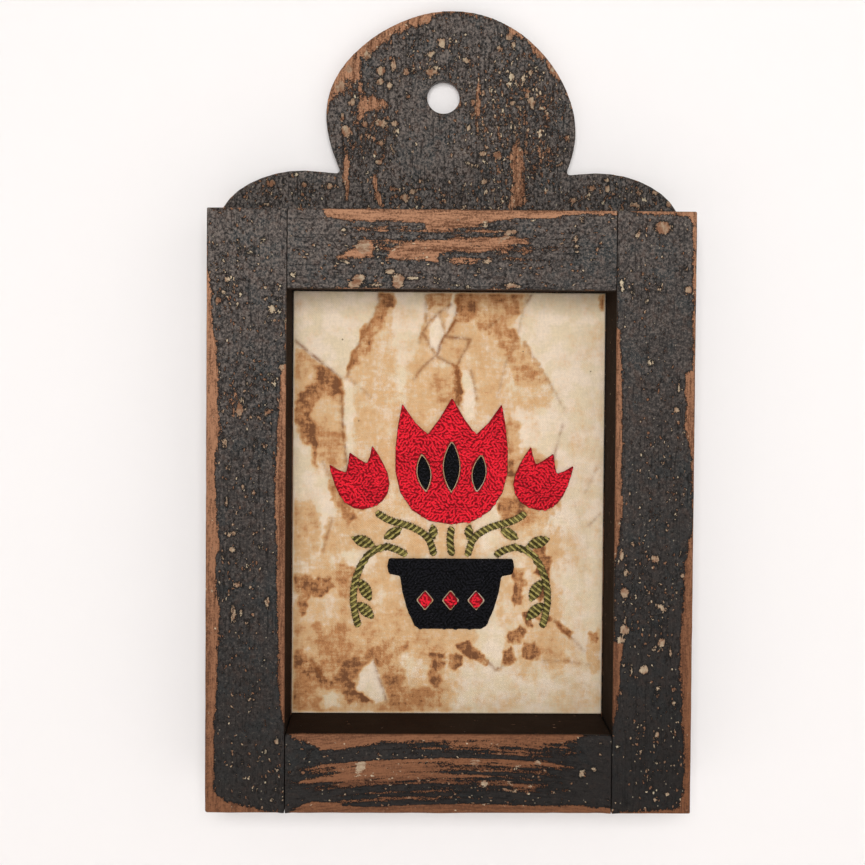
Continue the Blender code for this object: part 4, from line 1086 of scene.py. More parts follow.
# %% Helpers for the cloth's surface
CREASE_HALF_W = 0.9
CREASE_LINE = 0.70
CREASE_RISE = 0.20
CREASE_DARK = 1.15
PUCKER, PUCKER_LUMPS = 0.10, 11.0
CLOTH_CELL = 0.56
RAY_START = 0.05
CLOTH_LOW, CLOTH_HIGH = (np.array(corner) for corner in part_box("cloth"))
CLOTH_MIDDLE = (CLOTH_LOW + CLOTH_HIGH) / 2


def crease_field(across, up):
    """The height of the fine creases, and how dark the dye has dried in them."""
    height, line = np.zeros(len(across)), np.zeros(len(across))
    for rise, dark, run in CREASES:
        distance = np.minimum.reduce([run_distance(across, up, *pair) for pair in zip(run, run[1:])])
        height += CREASE_RISE * rise * np.exp(-((distance / CREASE_HALF_W) ** 2))
        line = np.maximum(line, dark * np.exp(-((distance / CREASE_LINE) ** 1.5)))
    return height, np.minimum(CREASE_DARK * line, 1.0)


def search_tree(node):
    """A search tree of a solid's surface, which finds where a line from the front meets it."""
    mesh = NODES[node].data
    points = [vert.co.copy() for vert in mesh.vertices]
    return BVHTree.FromPolygons(points, [tuple(face.vertices) for face in mesh.polygons])


SURFACES = {node: search_tree(node) for node in NODES}


def front_of(node, x, z):
    """Where a line from the front meets a solid, as its y, or None where it misses."""
    hit = SURFACES[node].ray_cast(Vector((x, FRONT_Y - RAY_START, z)), Vector((0.0, 1.0, 0.0)))[0]
    return None if hit is None else hit.y


print("cloth in mm:", [round(size / MM, 1) for size in CLOTH_HIGH - CLOTH_LOW])

# %% [markdown]
# Tea dye stops where a wet patch stopped, so each stain is an outline with a level of darkness. The
# rows are laid over each other in order, and some of them clear a patch that stayed pale.

# %% Stains of the cloth
BARE_LEVEL = 0.10
TIDE_LINE = 0.45
PALE_RIM = 0.9
BORDER_SHIFT, SHIFTED_MOST = 0.85, 3.0
BROAD_LUMPS, SMALL_LUMPS, SMALL_SHARE = 5.0, 2.0, 0.6
STAINS = (
    # how dark, width of the border, then the corners in mm from the cloth's middle
    (0.30, 14.0, ((-69.1, 90.6), (-3.9, 90.6), (20.6, 82.5), (22.6, 41.9), (8.4, 1.2), (8.4, -88.2),
        (-69.1, -88.2))),
    (0.44, 9.0, ((-65.0, -45.5), (-20.2, -43.5), (-3.9, -55.7), (-1.4, -84.9), (-65.0, -84.9))),
    (0.12, 9.0, ((2.2, -67.0), (65.4, -67.0), (65.4, -86.1), (2.2, -86.1))),
    (0.20, 6.0, ((-58.5, -37.4), (-46.7, -37.4), (-43.8, -46.7), (-52.0, -53.2), (-59.3, -49.6))),
    (0.52, 4.0, ((-64.2, 64.2), (-58.5, 60.6), (-53.6, 56.9), (-48.7, 52.8), (-44.2, 50.0),
        (-43.4, 41.9), (-43.4, 31.7), (-48.7, 25.6), (-56.8, 29.7), (-62.6, 39.8), (-60.9, 48.0),
        (-62.6, 54.1))),
    (0.06, 0.9, ((-65.8, 89.0), (-29.1, 89.0), (-28.7, 80.5), (-30.8, 76.4), (-32.8, 71.9),
        (-35.7, 66.3), (-39.3, 59.7), (-41.0, 53.2), (-41.8, 50.8), (-43.8, 50.8), (-48.7, 53.7),
        (-53.6, 57.7), (-58.5, 61.4), (-65.8, 67.9))),
    (0.66, 2.4, ((-28.7, 82.5), (-25.5, 82.5), (-26.3, 76.4), (-28.7, 70.3), (-32.8, 63.8),
        (-36.9, 57.3), (-39.7, 54.9), (-39.3, 59.7), (-35.7, 66.3), (-32.8, 71.9), (-30.8, 76.4))),
    (0.82, 3.0, ((-27.5, 88.2), (-20.2, 88.2), (-20.2, 82.5), (-23.4, 80.1), (-26.7, 81.3))),
    (0.76, 2.5, ((-53.6, 54.9), (-48.7, 52.4), (-44.2, 49.6), (-43.4, 44.7), (-48.7, 45.1),
        (-53.6, 48.4))),
    (0.34, 3.0, ((-60.9, 53.2), (-56.0, 53.2), (-53.6, 48.0), (-57.7, 45.1), (-61.7, 46.7))),
    (0.82, 2.0, ((-64.2, 40.2), (-59.7, 42.7), (-56.8, 47.6), (-54.4, 48.4), (-53.6, 42.7),
        (-56.4, 37.8), (-56.0, 31.7), (-54.4, 25.6), (-53.6, 19.5), (-53.6, 14.6), (-55.2, 16.3),
        (-57.3, 22.8), (-59.7, 29.7), (-63.8, 35.8))),
    (0.24, 3.5, ((-54.4, 41.1), (-48.7, 42.7), (-44.6, 40.2), (-43.8, 33.7), (-45.4, 28.9),
        (-52.0, 29.7), (-55.2, 34.6))),
    (0.52, 3.5, ((-52.8, 25.6), (-43.0, 29.7), (-41.8, 21.5), (-41.4, 11.4), (-42.6, 4.5), (-46.3, 4.5),
        (-48.7, 13.4), (-52.0, 19.5))),
    (0.06, 1.6, ((-43.0, 50.4), (-39.7, 50.0), (-38.1, 41.9), (-38.5, 25.6), (-38.9, 13.4),
        (-41.0, 12.6), (-42.2, 23.6), (-43.0, 35.8))),
    (0.10, 3.5, ((-65.0, 31.7), (-60.9, 29.7), (-57.7, 21.5), (-54.4, 13.4), (-49.5, 14.2),
        (-45.8, 3.3), (-46.7, -6.9), (-50.7, -21.5), (-54.4, -15.0), (-56.8, 1.2), (-65.0, 1.2))),
    (0.44, 5.0, ((-65.0, -2.0), (-54.4, -2.0), (-52.8, -11.0), (-56.8, -22.3), (-65.0, -21.5))),
    (0.64, 2.5, ((-48.3, 6.9), (-43.4, 10.2), (-39.3, 4.5), (-39.7, -7.7), (-42.6, -6.9), (-45.4, -0.8),
        (-47.9, 1.2))),
    (0.38, 3.0, ((-47.1, -6.9), (-39.7, -8.9), (-39.7, -25.2), (-44.6, -35.3), (-49.5, -29.3),
        (-51.1, -19.9))),
    (0.06, 3.0, ((-42.2, -19.9), (-34.4, -17.5), (-30.8, -24.0), (-34.8, -28.4), (-41.4, -26.4))),
    (0.80, 2.0, ((-65.0, -30.1), (-56.0, -30.1), (-54.4, -32.5), (-48.7, -30.9), (-47.1, -34.5),
        (-52.8, -37.0), (-56.0, -36.2), (-57.7, -41.4), (-58.5, -47.1), (-60.5, -44.3), (-60.9, -37.4),
        (-63.4, -33.7))),
    (0.58, 3.5, ((-44.6, -26.4), (-38.1, -27.2), (-35.2, -35.3), (-39.7, -38.6), (-43.8, -35.3))),
    (0.60, 2.0, ((-36.5, 5.3), (-34.0, 4.5), (-34.0, -3.2), (-36.1, -2.8))),
    (0.08, 2.0, ((-22.6, 88.2), (-10.4, 88.2), (-10.0, 74.4), (-12.0, 68.3), (-14.5, 60.2),
        (-16.9, 53.2), (-18.5, 45.9), (-21.8, 45.9), (-23.0, 66.3))),
    (0.66, 1.5, ((-9.2, 85.4), (0.6, 87.0), (0.6, 81.3), (-4.7, 80.1), (-8.8, 79.7))),
    (0.40, 1.4, ((-10.4, 72.3), (-7.9, 69.5), (-7.9, 64.6), (-5.1, 60.6), (-9.6, 64.2),
        (-12.4, 67.1))),
    (0.04, 0.9, ((-5.5, 76.4), (-3.9, 73.2), (-2.6, 69.1), (-3.9, 65.0), (-5.1, 61.4), (-7.5, 65.0),
        (-7.9, 69.1), (-7.1, 73.6))),
    (0.06, 0.9, ((1.4, 87.0), (3.1, 82.5), (2.6, 77.6), (1.4, 73.6), (-1.4, 69.5), (-1.4, 73.6),
        (-0.2, 79.3))),
    (0.50, 4.5, ((10.0, 88.2), (32.8, 88.2), (28.7, 81.3), (23.8, 75.2), (20.6, 68.7), (16.5, 73.6),
        (11.6, 80.5))),
    (0.72, 2.8, ((3.5, 88.2), (8.0, 88.2), (9.6, 82.9), (13.7, 77.2), (17.3, 73.6), (15.7, 69.1),
        (12.4, 72.8), (8.8, 76.4), (5.5, 74.0), (2.6, 74.4), (3.9, 80.5))),
    (0.70, 4.0, ((16.9, 88.2), (30.4, 88.2), (27.9, 82.5), (24.2, 78.5), (22.6, 81.7), (18.9, 82.9))),
    (0.36, 0.9, ((-1.4, 67.1), (8.4, 66.3), (5.9, 61.4), (3.5, 56.5), (0.2, 58.1), (-3.9, 60.6))),
    (0.48, 5.0, ((-4.7, 52.0), (2.2, 54.1), (3.5, 36.9), (-1.4, 39.0), (-5.5, 44.7))),
    (0.86, 1.5, ((1.8, 57.3), (3.9, 55.7), (5.1, 51.6), (4.7, 41.9), (2.6, 41.1), (2.2, 50.8))),
    (0.05, 1.2, ((5.5, 54.1), (7.9, 52.4), (10.8, 44.7), (10.4, 36.0), (7.4, 33.0), (6.1, 40.0))),
    (0.62, 3.0, ((18.5, 70.4), (22.4, 71.0), (26.7, 68.7), (27.9, 64.6), (26.3, 60.5), (24.2, 57.0),
        (24.4, 62.6), (21.4, 64.2))),
    (0.26, 3.0, ((20.6, 50.4), (40.1, 50.4), (43.8, 44.7), (38.9, 39.4), (20.6, 39.4))),
    (0.46, 2.2, ((30.4, 65.4), (34.0, 59.7), (38.9, 52.4), (41.0, 48.4), (33.0, 46.6), (27.3, 48.4),
        (23.8, 52.4), (27.1, 59.7))),
    (0.64, 2.6, ((27.1, 55.3), (29.4, 54.2), (31.4, 57.5), (34.4, 53.0), (36.9, 54.9), (39.3, 49.6),
        (32.0, 51.0), (26.3, 50.0))),
    (0.60, 1.4, ((60.9, 86.6), (63.0, 86.6), (63.0, 79.3), (61.3, 80.1))),
    (0.50, 3.6, ((20.8, 30.0), (24.0, 35.4), (29.1, 32.1), (28.7, 25.6), (26.3, 21.1), (22.0, 24.0))),
    (0.50, 6.0, ((22.2, 19.1), (32.8, 21.5), (41.0, 15.0), (43.0, 5.3), (41.0, -4.5), (32.8, -8.5),
        (23.0, -7.7))),
    (0.84, 1.8, ((28.7, 10.2), (34.0, 8.5), (32.8, 1.6), (28.7, 1.2))),
    (0.86, 1.8, ((34.8, 13.4), (39.3, 11.8), (41.8, 5.3), (38.9, 2.9), (36.1, 7.3))),
    (0.78, 2.4, ((20.2, -2.0), (23.0, 1.2), (27.1, 2.9), (30.4, -0.8), (27.9, -5.7), (22.6, -6.8))),
    (0.80, 1.8, ((23.8, 16.7), (26.3, 17.5), (27.1, 11.8), (24.2, 10.6))),
    (0.28, 7.0, ((22.2, -11.0), (43.4, -11.0), (45.8, -67.0), (22.2, -67.9))),
    (0.84, 1.8, ((35.2, -14.2), (38.5, -15.0), (39.3, -21.5), (36.1, -20.7), (34.8, -17.5))),
    (0.94, 1.5, ((36.9, -21.9), (41.4, -21.9), (41.4, -31.3), (39.7, -36.2), (38.1, -39.0),
        (36.9, -36.6), (38.9, -30.5), (35.7, -28.0))),
    (0.84, 1.8, ((27.1, -27.2), (30.8, -28.0), (31.6, -33.3), (30.4, -38.6), (27.5, -41.9),
        (26.3, -40.2), (27.5, -33.3))),
    (0.96, 1.4, ((31.2, -44.7), (34.4, -44.7), (34.4, -51.2), (32.4, -50.8))),
    (0.80, 1.4, ((36.5, -44.3), (40.5, -44.7), (41.8, -47.1), (39.3, -48.4), (36.9, -47.5))),
    (0.92, 1.6, ((25.5, -51.6), (29.5, -50.0), (31.6, -52.8), (29.5, -56.9), (25.1, -56.5))),
    (0.92, 2.0, ((32.0, -56.1), (36.1, -56.9), (38.9, -59.7), (36.1, -64.2), (32.8, -63.8),
        (31.2, -59.7))),
    (0.88, 1.4, ((23.0, -61.8), (26.3, -58.9), (28.3, -64.6), (23.8, -65.8), (21.8, -64.6))),
    (0.70, 1.2, ((43.8, -47.9), (45.8, -48.4), (50.7, -53.2), (50.3, -55.3), (47.1, -53.2))),
    (0.42, 2.5, ((38.1, -58.1), (43.4, -60.5), (49.5, -62.6), (48.3, -64.6), (40.1, -63.8))),
    (0.34, 2.6, ((56.8, -57.0), (59.5, -53.0), (64.0, -51.4), (64.0, -66.5), (60.4, -68.0),
        (57.8, -63.0))),
    (0.76, 1.6, ((58.6, -53.2), (60.2, -52.4), (61.8, -54.4), (61.2, -57.0), (59.2, -56.4))),
    (0.58, 4.0, ((-53.6, -51.6), (-42.6, -50.8), (-39.7, -59.7), (-44.6, -67.0), (-50.3, -67.0))),
    (0.76, 3.0, ((-65.0, -59.7), (-58.5, -61.8), (-55.2, -64.2), (-50.3, -70.7), (-46.3, -72.7),
        (-42.2, -67.0), (-36.5, -63.8), (-30.8, -60.5), (-25.1, -58.1), (-19.4, -60.5), (-21.0, -65.4),
        (-29.1, -65.4), (-34.0, -67.0), (-39.7, -70.3), (-43.8, -76.8), (-48.7, -76.0), (-53.6, -70.7),
        (-58.5, -69.1), (-64.6, -67.0))),
    (0.60, 4.0, ((-65.0, -70.3), (-53.6, -72.3), (-52.0, -83.3), (-65.0, -84.1))),
    (0.66, 3.0, ((-25.9, -57.7), (-18.9, -57.7), (-18.1, -76.0), (-22.6, -82.5), (-25.1, -76.0))),
    (0.90, 1.8, ((-42.6, -71.9), (-38.9, -73.5), (-37.7, -78.0), (-30.8, -77.2), (-30.4, -80.9),
        (-39.7, -81.7), (-42.6, -78.0))),
    (0.06, 1.2, ((-30.4, -63.4), (-26.7, -73.1), (-24.7, -80.5), (-30.0, -82.1), (-34.0, -78.0),
        (-37.3, -76.4), (-35.7, -69.5))),
    (0.14, 1.8, ((-46.7, -76.0), (-44.2, -82.9), (-52.0, -82.9), (-49.5, -77.6))),
    (0.24, 3.5, ((-18.5, -61.8), (-6.3, -65.0), (-7.1, -74.0), (-16.9, -76.0))),
    (0.84, 1.8, ((-6.3, -61.8), (-1.0, -61.4), (-1.4, -67.0), (-5.5, -67.0))),
    (0.88, 1.6, ((0.6, -62.2), (5.1, -61.8), (5.9, -65.4), (2.6, -67.9), (0.6, -66.2))),
    (0.92, 1.3, ((3.9, -58.1), (8.4, -56.9), (12.4, -60.5), (16.9, -64.6), (16.1, -66.2), (11.6, -63.4),
        (7.1, -62.2))),
    (0.72, 1.6, ((-7.1, -65.8), (-4.7, -67.0), (-1.4, -73.5), (-3.9, -74.8), (-6.7, -71.9))),
    (0.62, 3.5, ((-22.2, -75.2), (-4.7, -76.0), (-3.9, -82.5), (-22.2, -83.3))),
    (0.04, 1.5, ((12.4, -50.8), (23.4, -50.8), (22.2, -63.8), (19.8, -67.5), (16.5, -63.0),
        (13.2, -56.5))),
)
print("stains:", len(STAINS))

# %% [markdown]
# The cloth is one thin sheet with a close grid. Its front follows the solid's folds, smoothed, then
# gets the fine creases and a slight pucker, and its back stays flat on the backboard. A cloth
# simulation would settle such a stretched sheet flat, so the folds are given instead.

# %% Cloth
SMOOTHING_ROUNDS = 6
RIM_INSET = 0.02


def stain_field(points, across, up):
    """How dark the dye has dried at each point. Each row paints its level over those before it,
    and a darker one leaves a tide line along its border."""
    stain = np.full(len(across), BARE_LEVEL)
    shift = np.stack([drift(points + move, BROAD_LUMPS) for move in (5.0, 6.0)])
    shift += SMALL_SHARE * np.stack([drift(points + move, SMALL_LUMPS) for move in (7.0, 8.0)])
    for level, soft, corners in STAINS:
        away = shift * min(soft, SHIFTED_MOST) * BORDER_SHIFT
        mask = patch_mask(across + away[0], up + away[1], corners, soft)
        tide = TIDE_LINE * 4 * mask * (1 - mask) * np.maximum(level - stain, 0.0)
        stain += (level - stain) * mask + tide
    return stain


def sheet_skin(xs, zs):
    """Points and faces of a thin sheet: a close grid in front, a strip round it, one face behind."""
    across, up = np.meshgrid(xs, zs, indexing="ij")
    front = np.stack((across, np.zeros_like(across), up), axis=-1).reshape(-1, 3)
    index = np.arange(across.size).reshape(across.shape)
    quads = np.stack((index[:-1, :-1], index[1:, :-1], index[1:, 1:], index[:-1, 1:]), axis=-1)
    ring = np.concatenate((index[:-1, 0], index[-1, :-1], index[:0:-1, -1], index[0, :0:-1]))
    back = len(front) + np.arange(len(ring))
    strip = np.stack((ring, back, np.roll(back, -1), np.roll(ring, -1)), axis=-1)
    faces = quads.reshape(-1, 4).tolist() + strip.tolist() + [back[::-1].tolist()]
    return np.concatenate((front, front[ring] + (0.0, 1.0, 0.0))), faces


def make_cloth():
    counts = [round(size / (CLOTH_CELL * MM)) for size in (CLOTH_HIGH - CLOTH_LOW)]
    xs = np.linspace(CLOTH_LOW[0], CLOTH_HIGH[0], counts[0] + 1)
    zs = np.linspace(CLOTH_LOW[2], CLOTH_HIGH[2], counts[2] + 1)
    inside_x = np.clip(xs, xs[0] + RIM_INSET * MM, xs[-1] - RIM_INSET * MM)
    inside_z = np.clip(zs, zs[0] + RIM_INSET * MM, zs[-1] - RIM_INSET * MM)
    front = np.array([[front_of("cloth", x, z) for z in inside_z] for x in inside_x])
    for _ in range(SMOOTHING_ROUNDS):
        padded = np.pad(front, 1, mode="edge")
        front = (padded[:-2, 1:-1] + padded[2:, 1:-1] + padded[1:-1, :-2] + padded[1:-1, 2:]) / 4
    points, faces = sheet_skin(xs, zs)
    column = np.rint((points[:, 0] - xs[0]) / (xs[1] - xs[0])).astype(int)
    row = np.rint((points[:, 2] - zs[0]) / (zs[1] - zs[0])).astype(int)
    across, up = (points[:, 0] - CLOTH_MIDDLE[0]) / MM, (points[:, 2] - CLOTH_MIDDLE[2]) / MM
    fine, line = crease_field(across, up)
    rise = (fine + PUCKER * drift(points, PUCKER_LUMPS)) * MM
    is_front = points[:, 1] < 0.5
    points[:, 1] = np.where(is_front, front[column, row] - rise, CLOTH_HIGH[1])
    points[:, 1] = np.maximum(points[:, 1], CLOTH_LOW[1])
    size = (CLOTH_HIGH - CLOTH_LOW) / MM / 2
    rim = np.minimum(size[0] - np.abs(across), size[2] - np.abs(up))
    paled = np.clip(rim / PALE_RIM, 0.0, 1.0)
    stain = stain_field(points, across, up) * paled
    mesh = new_mesh("muslin_ground", points, faces, {"stain": stain, "crease": line * paled})
    return add_piece("muslin_ground", mesh, muslin_finish(), "muslin", "cloth")


# %% [markdown]
# Muslin is a plain weave of thin, uneven threads. The group crosses two sine waves at the pitch of
# the threads, pulls them out of line with noise, and gives the height. Two more noises, drawn out
# along the warp and the weft, add the slubs, the thicker stretches that run along single threads.


# %% Group: plain weave
def make_weave():
    tree, given, result = new_group(
        "plain weave",
        (("Place", "Vector"), ("Pitch", "Float")),
        (("Height", "Float"),),
    )
    split = tree.nodes.new("ShaderNodeSeparateXYZ")
    feed(tree, split.inputs[0], given["Place"])
    pulled = calc(tree, "MULTIPLY", speckle(tree, given["Place"], 90.0, 2.0), 0.0016)
    turns = calc(tree, "DIVIDE", math.pi, given["Pitch"])
    waves = []
    for socket in (split.outputs[0], split.outputs[2]):
        place = calc(tree, "ADD", socket, pulled)
        waves.append(calc(tree, "SINE", calc(tree, "MULTIPLY", place, turns)))
    crossed = calc(tree, "MULTIPLY", *waves)
    warp = drawn_noise(tree, given["Place"], (1.0, 1.0, 0.04), 2400.0, 1.0)
    weft = drawn_noise(tree, given["Place"], (0.04, 1.0, 1.0), 2400.0, 1.0)
    slub = calc(tree, "ADD", warp, weft)
    result("Height", calc(tree, "MULTIPLY_ADD", slub, 1.0, calc(tree, "MULTIPLY", crossed, 0.6)))


make_weave()
print("weave group made")

# %% [markdown]
# Tea dye settles where the cloth was creased and where a wet patch stopped, so a patch ends in a
# crisp line on one side and fades on the other. The mesh carries how dark the dye dried and where
# it dried in a crease. The shader roughens both with noise, along the threads too, and picks the
# colour from four shades of tea. A few dark specks are husks that were spun into the thread.

# %% Finish: stained muslin
MUSLIN = tint(232, 212, 188)
MUSLIN_GREEN = tint(224, 204, 172)
TEA_PALE = tint(210, 169, 122)
TEA = tint(180, 124, 76)
TEA_DARK = tint(116, 72, 40)
TEA_LINE = tint(128, 72, 26)
HUSK = tint(112, 88, 62)
THREAD_PITCH = 0.00046
THREAD_RELIEF = 0.00005
MUSLIN_ROUGH, MUSLIN_SHEEN = 0.92, 0.08


def muslin_finish():
    material, tree, shader = new_material("stained_muslin")
    given = tree.nodes.new("ShaderNodeTexCoord")
    place = given.outputs["Object"]
    weave = use_group(tree, "plain weave", Place=place, Pitch=THREAD_PITCH)
    cloud = speckle(tree, place, 60.0, 4.0, 0.55)
    ragged = speckle(tree, place, 330.0, 6.0, 0.70)
    grain = speckle(tree, place, 1300.0, 3.0, 0.7)
    upright = drawn_noise(tree, place, (1.0, 1.0, 0.18), 900.0, 2.0, 0.6)
    level = drawn_noise(tree, place, (0.18, 1.0, 1.0), 900.0, 2.0, 0.6)
    threads = calc(tree, "ADD", upright, level)
    stain = attribute(tree, "stain")
    rough = calc(tree, "MULTIPLY_ADD", stain, 1.1, 0.30)
    lumps = speckle(tree, place, 170.0, 4.0, 0.6)
    amount = calc(tree, "MULTIPLY_ADD", cloud, 0.55, stain)
    amount = calc(tree, "MULTIPLY_ADD", calc(tree, "MULTIPLY", lumps, rough), 0.9, amount)
    mottled = calc(tree, "MULTIPLY_ADD", threads, 0.45, calc(tree, "MULTIPLY_ADD", grain, 0.4, ragged))
    amount = calc(tree, "MULTIPLY_ADD", calc(tree, "MULTIPLY", mottled, rough), 1.1, amount)
    tinge = remap(tree, speckle(tree, place, 150.0, 3.0, 0.6), -0.1, 0.1)
    ground = blend(tree, tinge, MUSLIN, MUSLIN_GREEN)
    colour = blend(tree, remap(tree, amount, 0.02, 0.40), ground, TEA_PALE)
    colour = blend(tree, remap(tree, amount, 0.36, 0.72), colour, TEA)
    colour = blend(tree, remap(tree, amount, 0.68, 1.02), colour, TEA_DARK)
    crease = attribute(tree, "crease")
    crease = calc(tree, "MULTIPLY", crease, remap(tree, ragged, -0.15, 0.10, 0.35, 1.0))
    colour = blend(tree, crease, colour, TEA_LINE)
    husks = chip_layer(tree, shaken(tree, place, 1500.0, 0.0006), 1.0, 150.0, 0.16, 0.045)
    colour = blend(tree, remap(tree, husks, -0.015, 0.015, 0.0, 0.8), colour, HUSK)
    tone = calc(tree, "MULTIPLY_ADD", threads, 0.5, grain)
    tone = remap(tree, tone, -0.25, 0.25, 0.92, 1.05)
    shade = tree.nodes.new("ShaderNodeCombineColor")
    for socket in shade.inputs:
        feed(tree, socket, tone)
    feed(tree, shader.inputs["Base Color"], blend(tree, 1.0, colour, shade.outputs[0], "MULTIPLY"))
    shader.inputs["Roughness"].default_value = MUSLIN_ROUGH
    shader.inputs["Sheen Weight"].default_value = MUSLIN_SHEEN
    add_bump(tree, shader, calc(tree, "MULTIPLY_ADD", ragged, 1.2, weave["Height"]), THREAD_RELIEF)
    return material


cloth = make_cloth()

# %% [markdown]
# All the yarn and thread shares one effect: each loop or stitch is a little lighter or darker than
# its neighbour, painted lighter on its top and darker where it dives into the cloth, which is painted
# light and shade, and furred by fine fibres. The mesh carries the tone, and the group turns it into a
# colour between two shades of the same dye; the darker one also serves as painted shade.


# %% Group: dyed yarn
YARN_ROUGH, YARN_SHINE = 0.85, 0.15
FIBRE_RELIEF = 0.00008


def make_dyed_yarn():
    tree, given, result = new_group(
        "dyed yarn",
        (("Place", "Vector"), ("Tone", "Float"), ("Light", "Color"), ("Dark", "Color")),
        (("Color", "Color"), ("Height", "Float")),
    )
    fibres = speckle(tree, given["Place"], 3800.0, 3.0, 0.6)
    bands = speckle(tree, given["Place"], 120.0, 2.0)
    share = calc(tree, "MULTIPLY_ADD", fibres, 0.9, given["Tone"])
    share = calc(tree, "MULTIPLY_ADD", bands, 0.7, share)
    result("Color", blend(tree, remap(tree, share, 0.0, 1.0), given["Dark"], given["Light"]))
    result("Height", fibres)


def yarn_finish(name, light, dark, sheen):
    material, tree, shader = new_material(name)
    place = tree.nodes.new("ShaderNodeTexCoord").outputs["Object"]
    yarn = use_group(
        tree, "dyed yarn", Place=place, Tone=attribute(tree, "tone"), Light=light, Dark=dark
    )
    feed(tree, shader.inputs["Base Color"], yarn["Color"])
    shader.inputs["Roughness"].default_value = YARN_ROUGH
    shader.inputs["Sheen Weight"].default_value = sheen
    shader.inputs["Sheen Roughness"].default_value = 0.5
    shader.inputs["Specular IOR Level"].default_value = YARN_SHINE
    add_bump(tree, shader, yarn["Height"], FIBRE_RELIEF)
    return material


make_dyed_yarn()
# the dark of each yarn is its own uneven dye and also the painted shade at the cloth
YARNS = {
    "red_yarn": yarn_finish("red_yarn_finish", tint(242, 36, 56), tint(136, 2, 18), 0.05),
    "black_yarn": yarn_finish("black_yarn_finish", tint(22, 22, 27), tint(2, 2, 3), 0.01),
    "olive_thread": yarn_finish("olive_thread_finish", tint(174, 160, 92), tint(66, 57, 22), 0.06),
}
print("yarns:", list(YARNS))

# %% [markdown]
# A punch needle leaves a loop of yarn for each time that it goes in. The loops stand in rows, close
# enough to push each other askew. One loop is an arch of round yarn. Copies of it are placed in
# jittered rows inside the pad's outline, turned so that they flow in swirls, tilted and joined into
# one mesh with a low base in the shape of the solid, the yarn that lies under the loops. Particle
# hair would need a simulation of collisions to look like loops, and a bump map would look flat.

# %% Helpers for pile
LOOP_RINGS = 7
LOOP_SIDES = 6
LOOP_HALF_W = 0.60
LOOP_YARN = 0.42
ROW_PITCH = 1.02
LOOP_PITCH = 1.44
LOOP_JITTER = 0.20
LOOP_SWIRL, LOOP_TURN = 130.0, 48.0
SWIRL_SIZE = 8.0
LOOP_TILT = 12.0
LOOP_CLEARANCE = 0.29
LOOP_SIZES = (1.0, 0.75, 0.4)
LOOP_TURNS = (0, 35, -35, 70, -70)
LOOP_HEIGHTS = (0.84, 0.98)
LOOP_TONES = (-0.10, 0.22)
# painted light and shade of the pile: tone added at the top of a loop, and the dark tone of the yarn
# under the loops
CROWN_PAINTED_LIGHT = 0.75
BASE_SHARE, BASE_PAINTED_SHADE = 0.42, 0.12
WELD = 0.00001


def tube(centres, normals, sides, radii, lobes=0.0, twist=0.0):
    """Points and faces of a closed tube along a flat path, with the path's normals given."""
    rings = len(centres)
    turn = np.linspace(0, 2 * math.pi, sides, endpoint=False)
    along = np.gradient(centres, axis=0)
    across = np.cross(along, normals)
    across /= np.linalg.norm(across, axis=1)[:, None]
    points = []
    for ring in range(rings):
        angle = turn + twist * ring
        reach = radii[ring] * (1 + lobes * np.cos(2 * turn))
        offset = np.outer(np.cos(angle) * reach, normals[ring])
        offset = offset + np.outer(np.sin(angle) * reach, across[ring])
        points.append(centres[ring] + offset)
    faces = []
    for ring in range(rings - 1):
        for side in range(sides):
            here, there = ring * sides, (ring + 1) * sides
            after = (side + 1) % sides
            faces.append((here + side, here + after, there + after, there + side))
    last = (rings - 1) * sides
    faces += [tuple(reversed(range(sides))), tuple(range(last, last + sides))]
    return np.concatenate(points), faces


def one_loop():
    """An arch of yarn on the cloth: across it along x, out of the cloth along -y, in millimetres
    and with a height of 1."""
    turn = np.linspace(0.0, math.pi, LOOP_RINGS)
    across, out = LOOP_HALF_W * np.cos(turn), -np.sin(turn) ** 0.8
    centres = np.stack((across, out, np.zeros(LOOP_RINGS)), axis=1)
    normals = np.tile((0.0, 0.0, 1.0), (LOOP_RINGS, 1))
    return tube(centres, normals, LOOP_SIDES, np.full(LOOP_RINGS, LOOP_YARN))


def holds(node, x, z, clearance):
    """Whether a point of the cloth lies inside a pad's outline by at least the clearance."""
    spots = ((0, 0), (clearance, 0), (-clearance, 0), (0, clearance), (0, -clearance))
    return all(front_of(node, x + dx * MM, z + dz * MM) is not None for dx, dz in spots)


def fitted(node, x, z, turn):
    """The size and turn nearest to those asked for at which a loop stays inside the outline."""
    for size in LOOP_SIZES:
        for more in LOOP_TURNS:
            angle = turn + math.radians(more)
            dx = LOOP_HALF_W * size * math.cos(angle) * MM
            dz = -LOOP_HALF_W * size * math.sin(angle) * MM
            if all(holds(node, x + side * dx, z + side * dz, LOOP_CLEARANCE) for side in (-1, 1)):
                return size, angle
    return None


def pad_base(node, share):
    """The solid's own shape pressed down to a share of its height."""
    bm = bmesh.new()
    bm.from_mesh(NODES[node].data)
    bmesh.ops.remove_doubles(bm, verts=bm.verts, dist=WELD)
    bm.verts.index_update()
    back = max(vert.co.y for vert in bm.verts)
    points = [(vert.co.x, back + (vert.co.y - back) * share, vert.co.z) for vert in bm.verts]
    faces = [tuple(vert.index for vert in face.verts) for face in bm.faces]
    bm.free()
    return np.array(points), faces


def join_parts(parts):
    """Joins (points, faces, tone) parts into one set of points, faces and tones."""
    points, faces, tones, count = [], [], [], 0
    for part_points, part_faces, tone in parts:
        points.append(part_points)
        faces += [tuple(index + count for index in face) for face in part_faces]
        tones.append(np.broadcast_to(tone, len(part_points)))
        count += len(part_points)
    return np.concatenate(points), faces, np.concatenate(tones)


print("loop pitch in mm:", LOOP_PITCH, "row pitch:", ROW_PITCH)

# %% [markdown]
# The red flower and its buds, the black pot, and the small red diamonds and black seeds set in them
# are all punched the same way. A loop at the border turns along it or gets smaller until it fits,
# so that two colours meet in a scalloped line with a thread of cloth between them.

# %% Punched pile
RED_PADS = ("flower", "bud_left", "bud_right", "diamond_left", "diamond_middle", "diamond_right")
BLACK_PADS = ("pot", "seed_left", "seed_middle", "seed_right")
SEED = 20


